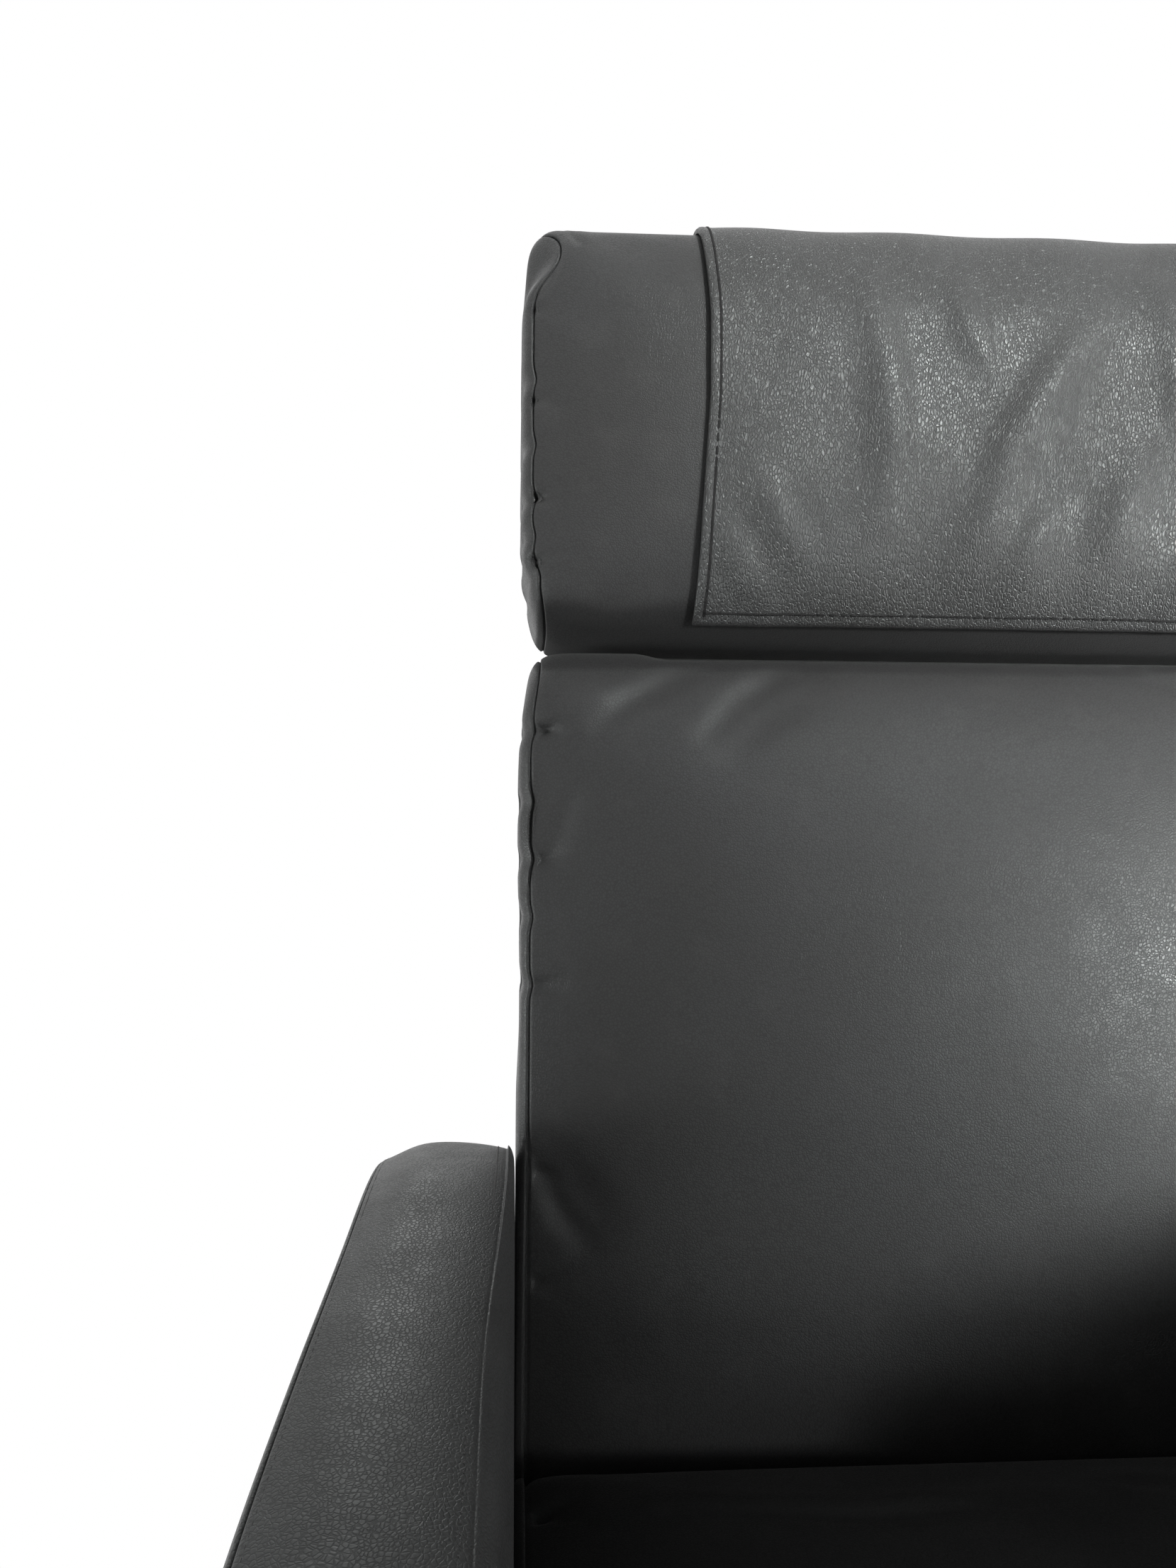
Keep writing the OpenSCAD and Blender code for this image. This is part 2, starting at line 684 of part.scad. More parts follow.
module gas_spring_rod() {
    piston = 12;
    color("silver") on_gas() {
        translate([0, 0, 22]) cylinder(d = rod_d, h = gas_top - 12 - 22);
        translate([0, 0, gas_top - 12 - piston]) cylinder(d = gas_d - 4.2, h = piston);
    }
}

// Head block on the base pin, with the release lever that the cable pulls
module gas_release_head() {
    color("black") on_gas() difference() {
        union() {
            translate([-9, -11, -11]) cube([18, 22, 33]);
            translate([-30, -4, 12]) cube([21, 8, 6]);
        }
        rotate([0, 90, 0]) translate([0, 0, -20]) cylinder(d = link_pin_d + 2 * run, h = 40);
        translate([0, 0, 21.9]) cylinder(d = rod_d, h = 2);
    }
}

module gas_spring_cylinder() {
    rod_r = rod_d / 2 + run;
    inner = gas_d / 2 - 2;
    color("black") on_gas() {
        rotate_extrude() polygon([[rod_r, gas_low], [gas_d / 2 - 1, gas_low], [gas_d / 2, gas_low + 1],
            [gas_d / 2, gas_top - 1], [gas_d / 2 - 1, gas_top], [0, gas_top], [0, gas_top - 8],
            [inner, gas_top - 8], [inner, gas_low + gland], [rod_r, gas_low + gland]]);
        difference() {
            translate([-9, -9, gas_top]) cube([18, 18, gas_len - gas_top + 9]);
            translate([-20, 0, gas_len]) rotate([0, 90, 0])
                cylinder(d = link_pin_d + 2 * gas_eye_spare, h = 40);
        }
    }
}

// Pivot pins that the seat plates hold

module back_pivot_pins() {
    color("silver") both_sides() headed_pin(back_pivot, ear_x - 1, pin_head_x, pivot_d);
}

module leg_pivot_pins() {
    color("silver") both_sides() headed_pin(leg_pivot, ear_x - 1, pin_head_x, pivot_d);
}

// Back

module back_arms() {
    tube = from_back(back_tube_y, back_low_z);
    color("dimgray") both_sides() side_plate(ear_x, link_t) difference() {
        union() {
            bar2d(back_pivot, tube, 14);
            bar2d(back_pivot, back_crank, 12);
            translate(back_pivot) circle(18);
        }
        translate(back_pivot) circle(d = pivot_d + 2 * run);
        translate(back_crank) circle(d = link_pin_d + 2 * press);
    }
}

module back_crank_pins() {
    color("silver") both_sides() link_pin(back_crank, ear_x + link_t);
}

module back_cross_tube() {
    color("dimgray") difference() {
        cross_bar(from_back(back_tube_y, back_low_z), -ear_x, ear_x, 2 * back_tube_r);
        cross_bar(from_back(back_tube_y, back_low_z), -ear_x - 1, ear_x + 1, 2 * (back_tube_r - wall));
    }
}

// Bent tube hoop that rises from the lower cross tube and carries the webbing and the head hinges.
module back_frame() {
    bend = 50;
    x = back_upright_x - bend;
    low = back_low_z + back_tube_r + fit / 2;
    color("dimgray") on_back() translate([0, back_tube_y, 0]) {
        both_sides() {
            translate([back_upright_x, 0, low]) cylinder(r = back_tube_r, h = back_top_z - bend - low);
            translate([x, 0, back_top_z - bend]) rotate([90, 0, 0]) rotate_extrude(angle = 90)
                translate([bend, 0]) circle(back_tube_r);
        }
        translate([-x, 0, back_top_z]) rotate([0, 90, 0]) cylinder(r = back_tube_r, h = 2 * x);
    }
}

module back_webbing() {
    first = 10;
    step = 85;
    color("black") on_back() for (i = [0 : 3])
        translate([-back_upright_x - 8, back_tube_y - back_tube_r - strap_t - 0.2, first + i * step])
            cube([2 * back_upright_x + 16, strap_t, strap_w]);
}

module back_cushion() {
    color("dimgray") on_back()
        standing_cushion(cushion_x, -back_low, back_h, 34, back_t, 32, 18, 34, back_crown, 0, 2, -1);
}

// Rear cover: a shallow pan with a rim on three sides and notches for the head hinges.
module back_cover() {
    x = cushion_x - 9;
    low = -back_low + 6;
    top = back_h - 9;
    color("dimgray") on_back() translate([0, back_t + fit, 0]) difference() {
        translate([0, 0, (low + top) / 2]) rotate([-90, 0, 0]) linear_extrude(cover_depth)
            round_rect(2 * x, top - low, 30);
        translate([0, -1, (low + top - cover_rim) / 2]) rotate([-90, 0, 0])
            linear_extrude(cover_depth - cover_plate + 1)
                round_rect(2 * (x - cover_rim), top - low - cover_rim, 22);
        translate([-x + cover_rim, -1, low - 1])
            cube([2 * (x - cover_rim), cover_depth - cover_plate + 1, 40]);
        for (s = [-1, 1]) translate([s * hinge_x - slot_x, -1, top - 30])
            cube([2 * slot_x, cover_depth - cover_plate + 1, 40]);
    }
}

// Head hinges: toothed lower plates welded to the hoop, upper plates screwed to the head board

module ratchet_2d() {
    teeth = 18;
    circle(15);
    for (k = [0 : teeth - 1]) rotate(360 * k / teeth)
        translate([14.6, 0]) rotate(45) square(3, center = true);
}

module on_back_plate(x, t) {
    on_back() side_plate(x, t) children();
}

module head_hinge_lower() {
    elbow = [back_tube_y, head_z0 + 30];
    hoop = [back_tube_y, back_top_z];
    color("silver") both_sides() on_back_plate(hinge_x - hinge_t - hinge_gap / 2, hinge_t) difference() {
        union() {
            translate(hoop) circle(back_tube_r + 1.5);
            bar2d(hoop, elbow, 8);
            bar2d(elbow, head_axis, 8);
            translate(head_axis) ratchet_2d();
        }
        translate(hoop) circle(back_tube_r + press);
        translate(head_axis) circle(d = pivot_d + 2 * press);
    }
}

module head_hinge_upper() {
    board = head_t + fit;
    color("silver") both_sides() on_back_plate(hinge_x + hinge_gap / 2, hinge_t) difference() {
        union() {
            translate(head_axis) circle(15);
            bar2d(head_axis, [board - 10, head_z0 + 100], 9);
            translate([board - 19, head_z0 + 91]) square([19, 70]);
        }
        translate(head_axis) circle(d = pivot_d + 2 * run);
        for (z = [115, 148]) translate([board - 10, head_z0 + z]) circle(2.5);
    }
}

module head_hinge_pins() {
    x0 = hinge_x - hinge_t - hinge_gap / 2;
    x1 = hinge_x + hinge_gap / 2 + hinge_t;
    color("silver") both_sides() on_back() translate([0, head_axis.x, head_axis.y]) rotate([0, 90, 0]) {
        translate([0, 0, x0]) cylinder(d = pivot_d, h = x1 + fit - x0);
        translate([0, 0, x1 + fit]) cylinder(d = pivot_d + 6, h = 2.5);
    }
}

// Head

module head_board() {
    x = cushion_x - 39;
    color("burlywood") on_back() translate([-x, head_t + fit, head_z0 + 62])
        cube([2 * x, board_t, head_h - 92]);
}

module head_cushion() {
    color("dimgray") on_back() difference() {
        standing_cushion(head_x, head_z0, head_z1, head_roll, head_t, head_edge, head_side, head_roll,
            head_crown, -2, 2, 0);
        for (s = [-1, 1]) translate([s * hinge_x - slot_x, 34, head_z0 - 1])
            cube([2 * slot_x, head_t - 33, 172]);
    }
}

module head_cover() {
    x = cushion_x - 12;
    low = head_z0 + 16;
    top = head_z1 - 14;
    color("dimgray") on_back() translate([0, head_t + fit, 0]) difference() {
        translate([0, 0, (low + top) / 2]) rotate([-90, 0, 0]) linear_extrude(head_cover_depth)
            round_rect(2 * x, top - low, 26);
        translate([0, -1, (low + top - cover_rim) / 2]) rotate([-90, 0, 0])
            linear_extrude(head_cover_depth - cover_plate + 1)
                round_rect(2 * (x - cover_rim), top - low - cover_rim, 18);
        translate([-x + cover_rim, -1, low - 1])
            cube([2 * (x - cover_rim), head_cover_depth - cover_plate + 1, 40]);
    }
}

// The flap's middle surface in back coordinates, for a share t of its run at a place x across it.
flap_low = 15;
flap_hang = 40;       // height on the head cushion below which the flap hangs free, plumb
flap_rear_y = head_t + fit + head_cover_depth;
flap_clear = 1.8;
flap_rear_r = 12;
function head_front(x, z) =
    let (mid = (head_z0 + head_z1) / 2,
        s = min(1, max(abs(x) / (head_x - head_side), abs(z - mid) / (head_h / 2 - head_roll))))
    -head_crown * (1 - s * s);
flap_front_z1 = head_z1 - head_roll;
flap_runs = [14, 5, 2, 3, 5];
function flap_point(x, run_i, t) =
    run_i == 0 ? let (z = head_z0 + flap_low + (flap_front_z1 - head_z0 - flap_low) * t)
        [x, head_front(x, z) + max(0, head_z0 + flap_hang - z) * tan(back_pitch), z, -1, 0] :
    run_i == 1 ? let (a = 90 * t)
        [x, head_edge * (1 - cos(a)), flap_front_z1 + head_roll * sin(a), -cos(a), sin(a)] :
    run_i == 2 ? [x, head_edge + (flap_rear_y - head_edge - flap_rear_r) * t, head_z1, 0, 1] :
    run_i == 3 ? let (a = 90 * t)
        [x, flap_rear_y - flap_rear_r * (1 - sin(a)), head_z1 - flap_rear_r * (1 - cos(a)), sin(a), cos(a)] :
    [x, flap_rear_y, head_z1 - flap_rear_r - (flap_drop - flap_rear_r) * t, 1, 0];
function flap_line(x) = [for (k = [0 : 4], i = [0 : flap_runs[k] - (k < 4 ? 1 : 0)])
    flap_point(x, k, i / flap_runs[k])];
function lifted(v, h) = [v[0], v[1] + v[3] * h, v[2] + v[4] * h];

module head_flap() {
    columns = 16;
    lines = [for (c = [0 : columns]) flap_line(-flap_w / 2 + flap_w * c / columns)];
    rows = len(lines[0]);
    lower = [for (l = lines, v = l) lifted(v, flap_clear)];
    upper = [for (l = lines, v = l) lifted(v, flap_clear + flap_t)];
    half = len(lower);
    grid = [for (c = [0 : columns - 1], i = [0 : rows - 2])
        let (a = c * rows + i) [a, a + rows, a + rows + 1, a + 1]];
    skins = [for (q = grid) each [[q[0], q[1], q[2]], [q[0], q[2], q[3]],
        [q[0] + half, q[2] + half, q[1] + half], [q[0] + half, q[3] + half, q[2] + half]]];
    ends = [for (c = [0 : columns - 1]) let (a = c * rows, b = a + rows, e = a + rows - 1, f = b + rows - 1)
        each [[a, b + half, b], [a, a + half, b + half], [e, f, f + half], [e, f + half, e + half]]];
    flanks = [for (i = [0 : rows - 2]) let (a = i, b = columns * rows + i)
        each [[a, a + 1, a + 1 + half], [a, a + 1 + half, a + half],
              [b, b + 1 + half, b + 1], [b, b + half, b + 1 + half]]];
    color("gray") on_back() polyhedron(concat(lower, upper), concat(skins, ends, flanks), convexity = 6);
}

// Weighted pouch sewn to the flap's rear end, which balances the part in front
module flap_weight() {
    w = flap_w - 30;
    h = 56;
    t = 8;
    y = flap_rear_y + flap_clear + flap_t + 0.1;
    color("gray") on_back() translate([0, y, head_z1 - flap_drop + h / 2 + 6]) rotate([-90, 0, 0])
        linear_extrude(t) round_rect(w, h, 12);
}

// Legrest

module leg_ear_2d() {
    bar2d(leg_pivot, leg_crank, 13);
    translate(leg_pivot) circle(18);
    translate(leg_pivot + [-6, -112]) square([24, 112]);
}

module legrest_ears() {
    color("dimgray") both_sides() side_plate(ear_x, link_t) difference() {
        leg_ear_2d();
        translate(leg_pivot) circle(d = pivot_d + 2 * run);
        translate(leg_crank) circle(d = link_pin_d + 2 * press);
    }
}

leg_board_y = leg_pivot.x + 2.3;

module legrest_bar() {
    color("dimgray") translate([-ear_x, leg_board_y + board_t, leg_pivot.y - 106])
        cube([2 * ear_x, link_t, 40]);
}

module legrest_board() {
    low = leg_floor + 12;
    color("burlywood") translate([-ear_x + 6, leg_board_y, low])
        cube([2 * ear_x - 12, board_t, leg_pivot.y - 30 - low]);
}

module legrest_pad() {
    x = ear_x - 5;
    t = leg_nose + 2;
    rear_edge = 4;
    color("dimgray") translate([0, leg_pivot.x - leg_nose, 0])
        standing_cushion(x, leg_floor, leg_pivot.y + leg_nose - nose_clear, leg_nose, t, leg_nose - rear_edge, 20,
            leg_nose, 5, -1, 0, -1, rear_edge);
}

module leg_crank_pins() {
    color("silver") both_sides() link_pin(leg_crank, ear_x + link_t);
}

// Links

// A slot along the way from p to q, centred on p.
module slot2d(p, q, r, spare) {
    d = q - p;
    translate(p) rotate(atan2(d.y, d.x)) {
        square([2 * spare, 2 * r], center = true);
        for (s = [-1, 1]) translate([s * spare, 0]) circle(r);
    }
}

module leg_links() {
    eye = link_pin_d / 2 + eye_spare;
    color("silver") both_sides() side_plate(link_x, link_t) difference() {
        bar2d(leg_link_base, leg_crank, link_r);
        translate(leg_link_base) circle(d = link_pin_d + 2 * run);
        slot2d(leg_crank, leg_link_base, eye, slot_spare);
    }
}

module back_links() {
    color("silver") both_sides() side_plate(link_x, link_t) difference() {
        bar2d(back_link_base, back_crank, link_r);
        translate(back_link_base) circle(d = link_pin_d + 2 * run);
        translate(back_crank) circle(link_pin_d / 2 + eye_spare);
    }
}

base_rails();
base_cross_tubes();
base_side_plates();
arm_spacers();
arm_bolts();
arm_left_core();
arm_right_core();
arm_left_pad();
arm_right_pad();
feet();
tilt_pins();
tilt_bushes();
link_base_pins();
handle_cup();
handle_pin();
release_handle();
release_cable();
cable_stop();
cable_clips();
seat_side_plates();
seat_cross_tubes();
seat_deck_rails();
seat_webbing();
seat_cushion();
gas_seat_bracket();
gas_seat_pin();
gas_base_lugs();
gas_base_pin();
gas_spring_rod();
gas_release_head();
gas_spring_cylinder();
back_pivot_pins();
leg_pivot_pins();
back_arms();
back_crank_pins();
back_cross_tube();
back_frame();
back_webbing();
back_cushion();
back_cover();
head_hinge_lower();
head_hinge_upper();
head_hinge_pins();
head_board();
head_cushion();
head_cover();
head_flap();
flap_weight();
legrest_ears();
legrest_bar();
legrest_board();
legrest_pad();
leg_crank_pins();
leg_links();
back_links();
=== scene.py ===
"""Zero gravity recliner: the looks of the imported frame, seen as in the photo."""

import json
import math

import bpy
import numpy as np
from mathutils import Matrix, Quaternion, Vector
from mathutils.bvhtree import BVHTree


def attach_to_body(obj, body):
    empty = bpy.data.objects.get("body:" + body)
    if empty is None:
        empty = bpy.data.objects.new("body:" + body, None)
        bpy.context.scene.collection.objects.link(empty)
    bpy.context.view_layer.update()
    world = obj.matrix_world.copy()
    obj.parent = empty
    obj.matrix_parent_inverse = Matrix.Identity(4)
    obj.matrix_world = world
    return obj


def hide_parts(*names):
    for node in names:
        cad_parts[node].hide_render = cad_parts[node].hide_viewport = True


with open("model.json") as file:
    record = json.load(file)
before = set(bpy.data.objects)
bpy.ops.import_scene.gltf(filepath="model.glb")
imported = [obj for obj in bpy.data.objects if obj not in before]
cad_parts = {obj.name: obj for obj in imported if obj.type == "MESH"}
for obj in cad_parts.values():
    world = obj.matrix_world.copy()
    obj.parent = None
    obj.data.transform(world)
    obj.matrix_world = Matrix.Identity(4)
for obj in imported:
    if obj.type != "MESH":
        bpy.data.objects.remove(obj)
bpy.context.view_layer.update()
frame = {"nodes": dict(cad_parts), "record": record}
scene = bpy.context.scene
scene.view_settings.view_transform = "Standard"

# The crease between seat and back is the zero of their local axes: +y to the rear, +z up along the back.
CREASE = Vector((0, 0.1, 0.4))
ON_SEAT = Matrix.Translation(CREASE) @ Matrix.Rotation(math.radians(-6), 4, "X")
ON_BACK = Matrix.Translation(CREASE) @ Matrix.Rotation(math.radians(-15), 4, "X")
UPRIGHT = Matrix.Identity(4)

# Sizes in metres: X is half a width, T a thickness, and Y and Z are a lower and an upper end.
CUSHION_X = 0.279
BACK_Z = (-0.05, 0.47)
BACK_T = 0.105
HEAD_X = 0.283
HEAD_Z = (0.474, 0.745)
HEAD_T = 0.11
SEAT_DEPTH = 0.508
SEAT_T = 0.11
ARM_IN = 0.283
SEAM_IN = 0.007
FLAP_X = 0.18
HEAD_TOP_R = 0.036

FRONT = np.array((0, -1, 0))
UP = np.array((0, 0, 1))
WHITE = (1, 1, 1, 1)


# Camera and light


def add_object(name, data):
    thing = bpy.data.objects.new(name, data)
    scene.collection.objects.link(thing)
    return thing


def aim(thing, at, ahead, roll=0):
    thing.location = at
    thing.rotation_mode = "QUATERNION"
    turn = Quaternion((0, 0, 1), math.radians(roll))
    thing.rotation_quaternion = ahead.to_track_quat("-Z", "Y") @ turn


def make_camera():
    yaw, pitch = math.radians(3.6), math.radians(10.31)
    level = math.cos(pitch)
    ahead = Vector((math.sin(yaw) * level, math.cos(yaw) * level, -math.sin(pitch)))
    camera = add_object("camera", bpy.data.cameras.new("camera"))
    aim(camera, (-0.2851, -0.4981, 0.8962), ahead, 1.06)
    camera.data.lens = 27.03
    camera.data.sensor_width = 36
    camera.data.clip_start = 0.01
    scene.camera = camera


def make_lamp(name, at, look, size, power, spread):
    lamp = bpy.data.lights.new(name, "AREA")
    lamp.shape = "RECTANGLE"
    lamp.size, lamp.size_y = size
    lamp.energy = power
    lamp.spread = math.radians(spread)
    aim(add_object(name, lamp), at, Vector(look) - Vector(at))


make_camera()
make_lamp("top_key", (0.85, -1.15, 2.4), (-0.05, 0.28, 1.22), (0.35, 0.3), 1.6, 25)
make_lamp("side_key", (1.9, -2.0, 1.25), (0.4, 0.2, 0.7), (0.55, 0.65), 3.7, 20)
make_lamp("arm_key", (-0.6, 1.9, 1.7), (-0.35, 0.0, 0.58), (0.3, 0.3), 0.1, 18)
make_lamp("rear_fill", (1.4, 2.9, 0.75), (0, 0.3, 0.65), (1.8, 0.9), 24, 120)
for side, name in ((-1, "left_fill"), (1, "right_fill")):
    make_lamp(name, (2.8 * side, -0.2, 0.45), (0, 0, 0.4), (1.6, 0.6), 17, 120)
make_lamp("front_fill", (0, -2.9, 0.2), (0, -0.42, 0.22), (1.6, 0.3), 0.5, 24)


# Materials


class Nodes:
    """A node tree, with short calls that add a node and give its output."""

    def __init__(self, tree):
        self.tree = tree

    def put(self, socket, value):
        if isinstance(value, bpy.types.NodeSocket):
            self.tree.links.new(value, socket)
        else:
            socket.default_value = value

    def add(self, kind, inputs, **settings):
        node = self.tree.nodes.new("ShaderNode" + kind)
        for key, value in settings.items():
            setattr(node, key, value)
        for key, value in inputs.items():
            self.put(node.inputs[key], value)
        return node

    def math(self, operation, a, b=0.0):
        return self.add("Math", {0: a, 1: b}, operation=operation).outputs[0]

    def span(self, value, low, high, out_low, out_high, soft=False):
        inputs = {0: value, 1: low, 2: high, 3: out_low, 4: out_high}
        kind = "SMOOTHSTEP" if soft else "LINEAR"
        return self.add("MapRange", inputs, interpolation_type=kind).outputs[0]

    def white_rays(self):
        """1 for rays that show the background: camera, glossy and transmission rays."""
        path = self.add("LightPath", {}).outputs
        share = self.math("MAXIMUM", path["Is Camera Ray"], path["Is Glossy Ray"])
        return self.math("MAXIMUM", share, path["Is Transmission Ray"])

    def join(self, share, a, b, end):
        """Mixes two shaders and links them to the tree's end node."""
        mix = self.add("MixShader", {0: share, 1: a.outputs[0], 2: b.outputs[0]})
        self.put(self.tree.nodes[end].inputs["Surface"], mix.outputs[0])


class Finish(Nodes):
    """A material round one shader."""

    def __init__(self, name):
        self.material = bpy.data.materials.new(name)
        self.material.use_nodes = True
        super().__init__(self.material.node_tree)
        self.shader = self.tree.nodes["Principled BSDF"]

    def set(self, **values):
        for key, value in values.items():
            self.put(self.shader.inputs[key.replace("_", " ")], value)

    def place(self, stretch=(1, 1, 1)):
        at = self.add("TexCoord", {}).outputs["Object"]
        return self.add("Mapping", {"Vector": at, "Scale": stretch}).outputs[0]

    def noise(self, at, scale, detail=2.0, rough=0.5, bend=0.0):
        inputs = {"Vector": at, "Scale": scale, "Detail": detail, "Roughness": rough, "Distortion": bend}
        return self.add("TexNoise", inputs).outputs[0]

    def cells(self, at, scale, feature="DISTANCE_TO_EDGE"):
        node = self.add("TexVoronoi", {"Vector": at, "Scale": scale}, feature=feature)
        return node.outputs["Distance"]

    def waves(self, at, scale, axis, bend=0.0):
        inputs = {"Vector": at, "Scale": scale, "Distortion": bend, "Detail": 2.0}
        return self.add("TexWave", inputs, bands_direction=axis).outputs[1]

    def mix(self, share, a, b):
        return self.add("Mix", {0: share, 6: a, 7: b}, data_type="RGBA").outputs[2]

    def bump(self, height, distance, strength, **more):
        inputs = {"Height": height, "Distance": distance, "Strength": strength, **more}
        return self.add("Bump", inputs).outputs[0]

    # The seam mark: seams, and the painted shade in the gap between head and back
    def seam(self):
        return self.add("Attribute", {}, attribute_name="seam").outputs["Fac"]

    def edge(self):
        return self.add("NewGeometry", {}).outputs["Pointiness"]


def grey(value, warm=0.0):
    return (value * (1 + warm), value, value * (1 - warm), 1)


def leather(name, tone, rough, shine=0.4, grain=560, stretch=(1, 1, 1), depth=0.0001):
    """Pebbled leather: grain, fine creases, cloudy colour, worn high spots, and dark seams and painted
    shade, both from the seam mark.
    """
    f = Finish(name)
    at = f.place(stretch)
    plain = f.place()
    bent = f.math("MULTIPLY", f.noise(at, 90, 2), 0.004)
    shifted = f.add("VectorMath", {0: at, 1: bent}, operation="ADD").outputs[0]
    pebble = f.span(f.cells(shifted, grain), 0.0, 0.22, 0, 1, True)
    pore = f.noise(at, 2600, 2)
    crease = f.noise(at, 70, 5, 0.62, 0.8)
    cloud = f.noise(plain, 7, 4, 0.55)
    patch = f.noise(plain, 38, 3, 0.6)
    height = f.math("ADD", pebble, f.math("MULTIPLY", pore, 0.35))
    low = f.bump(crease, 0.0005, 0.5)
    f.set(Normal=f.bump(height, depth, 0.8, Normal=low))
    varied = f.mix(f.span(cloud, 0.3, 0.7, 0, 1), grey(tone * 0.86, 0.01), grey(tone * 1.12, -0.012))
    grained = f.mix(f.span(pebble, 0, 1, 0.42, 0), varied, grey(tone * 0.45))
    worn = f.mix(f.span(patch, 0.55, 0.8, 0, 0.16), grained, grey(tone * 1.9, 0.02))
    # Darker and duller along the seam mark: the seams, and painted shade in the gap between head and
    # back
    seam = f.seam()
    f.set(Base_Color=f.mix(f.span(seam, 0.45, 1, 0, 0.65, True), worn, grey(tone * 0.3)))
    dull = f.span(patch, 0.3, 0.7, rough - 0.05, rough + 0.06)
    matt = f.math("ADD", f.span(pebble, 0, 1, 0.14, 0), dull)
    f.set(Roughness=f.math("ADD", matt, f.span(seam, 0.45, 1, 0, 0.5, True)))
    f.set(Sheen_Weight=0.05, Sheen_Roughness=0.5)
    f.set(Specular_IOR_Level=shine, Specular_Tint=(0.93, 1.0, 0.975, 1))
    return f.material


def powder_coat(name, tone):
    f = Finish(name)
    at = f.place()
    peel = f.noise(at, 900, 3)
    speck = f.noise(at, 150, 4, 0.6)
    dust = f.noise(at, 12, 3)
    edge = f.edge()
    base = f.mix(f.span(dust, 0.35, 0.7, 0, 1), grey(tone * 0.85), grey(tone * 1.15, 0.01))
    rubbed = f.mix(f.span(edge, 0.53, 0.6, 0, 0.5), base, grey(tone * 3.2))
    f.set(Base_Color=f.mix(f.span(speck, 0.62, 0.8, 0, 0.3), rubbed, grey(tone * 1.8)))
    f.set(Roughness=f.span(speck, 0.3, 0.7, 0.42, 0.58))
    f.set(Normal=f.bump(peel, 0.00025, 0.7))
    return f.material


def metal(name, tone, rough, tint, brushed):
    f = Finish(name)
    at = f.place(brushed)
    line = f.noise(at, 420, 3, 0.6)
    cloud = f.noise(f.place(), 60, 3)
    edge = f.edge()
    base = f.mix(f.span(cloud, 0.35, 0.68, 0, 1), grey(tone * 0.88, tint), grey(tone * 1.06, tint * 0.4))
    f.set(Base_Color=f.mix(f.span(edge, 0.52, 0.58, 0, 0.4), base, grey(min(tone * 1.25, 0.95))))
    f.set(Metallic=1.0, Roughness=f.span(line, 0.3, 0.7, rough - 0.07, rough + 0.09))
    f.set(Normal=f.bump(line, 0.00006, 0.5))
    return f.material


def plywood(name):
    """Birch faces with long grain, and thin dark glue lines through the thickness."""
    f = Finish(name)
    at = f.place((1, 0.09, 0.09))
    figure = f.noise(at, 60, 5, 0.6, 1.2)
    fibre = f.noise(f.place((1, 0.05, 0.05)), 900, 2)
    ply = f.waves(f.place((1, 0.16, 0.16)), 220, "X", 0.6)
    base = f.mix(f.span(figure, 0.3, 0.72, 0, 1), (0.52, 0.36, 0.2, 1), (0.36, 0.22, 0.11, 1))
    lined = f.mix(f.span(ply, 0.72, 0.95, 0, 0.5), base, (0.2, 0.11, 0.05, 1))
    f.set(Base_Color=f.mix(f.span(fibre, 0.5, 0.8, 0, 0.35), lined, (0.28, 0.17, 0.09, 1)))
    f.set(Roughness=f.span(figure, 0.3, 0.7, 0.55, 0.75), Specular_IOR_Level=0.35)
    f.set(Normal=f.bump(f.math("ADD", figure, fibre), 0.0003, 0.5))
    return f.material


def moulded(name, tone, rough, grain=420):
    f = Finish(name)
    at = f.place()
    spark = f.cells(at, grain, "F1")
    cloud = f.noise(at, 18, 3)
    edge = f.edge()
    base = f.mix(f.span(cloud, 0.35, 0.68, 0, 1), grey(tone * 0.85), grey(tone * 1.2))
    f.set(Base_Color=f.mix(f.span(edge, 0.53, 0.6, 0, 0.5), base, grey(tone * 2.6)))
    f.set(Roughness=f.span(spark, 0.1, 0.6, rough - 0.06, rough + 0.08))
    f.set(Normal=f.bump(spark, 0.00018, 0.6))
    return f.material


def woven(name, tone):
    """Elastic strap: ribs along its length, picks across, and some fuzz."""
    f = Finish(name)
    at = f.place()
    rib = f.waves(at, 300, "Y", 0.4)
    up = f.waves(at, 300, "Z", 0.4)
    pick = f.waves(at, 210, "X", 0.5)
    fuzz = f.noise(at, 1800, 3)
    height = f.math("ADD", f.math("MAXIMUM", rib, up), f.math("MULTIPLY", pick, 0.7))
    base = f.mix(f.span(height, 0.3, 1.6, 0, 1), grey(tone * 0.35), grey(tone * 1.3))
    f.set(Base_Color=f.mix(f.span(fuzz, 0.5, 0.8, 0, 0.3), base, grey(tone * 2)))
    f.set(Roughness=f.span(fuzz, 0.3, 0.7, 0.75, 0.92), Sheen_Weight=0.2, Specular_IOR_Level=0.2)
    f.set(Normal=f.bump(f.math("ADD", height, fuzz), 0.0004, 0.8))
    return f.material


def thread(name, tone):
    f = Finish(name)
    at = f.place()
    twist = f.waves(at, 900, "DIAGONAL", 0.2)
    fuzz = f.noise(at, 3000, 2)
    f.set(Base_Color=f.mix(f.span(twist, 0.2, 0.8, 0, 1), grey(tone * 0.6), grey(tone * 1.3)))
    f.set(Roughness=f.span(fuzz, 0.3, 0.7, 0.55, 0.75), Specular_IOR_Level=0.3)
    f.set(Normal=f.bump(twist, 0.0002, 0.7))
    return f.material


CHARCOAL = leather("charcoal leather", 0.052, 0.36, 0.22)
ARM_LEATHER = leather("arm leather", 0.056, 0.42, 0.35)
FLAP_LEATHER = leather("flap leather", 0.048, 0.32, 0.48, 520, (1.2, 1.2, 0.55), 0.00036)
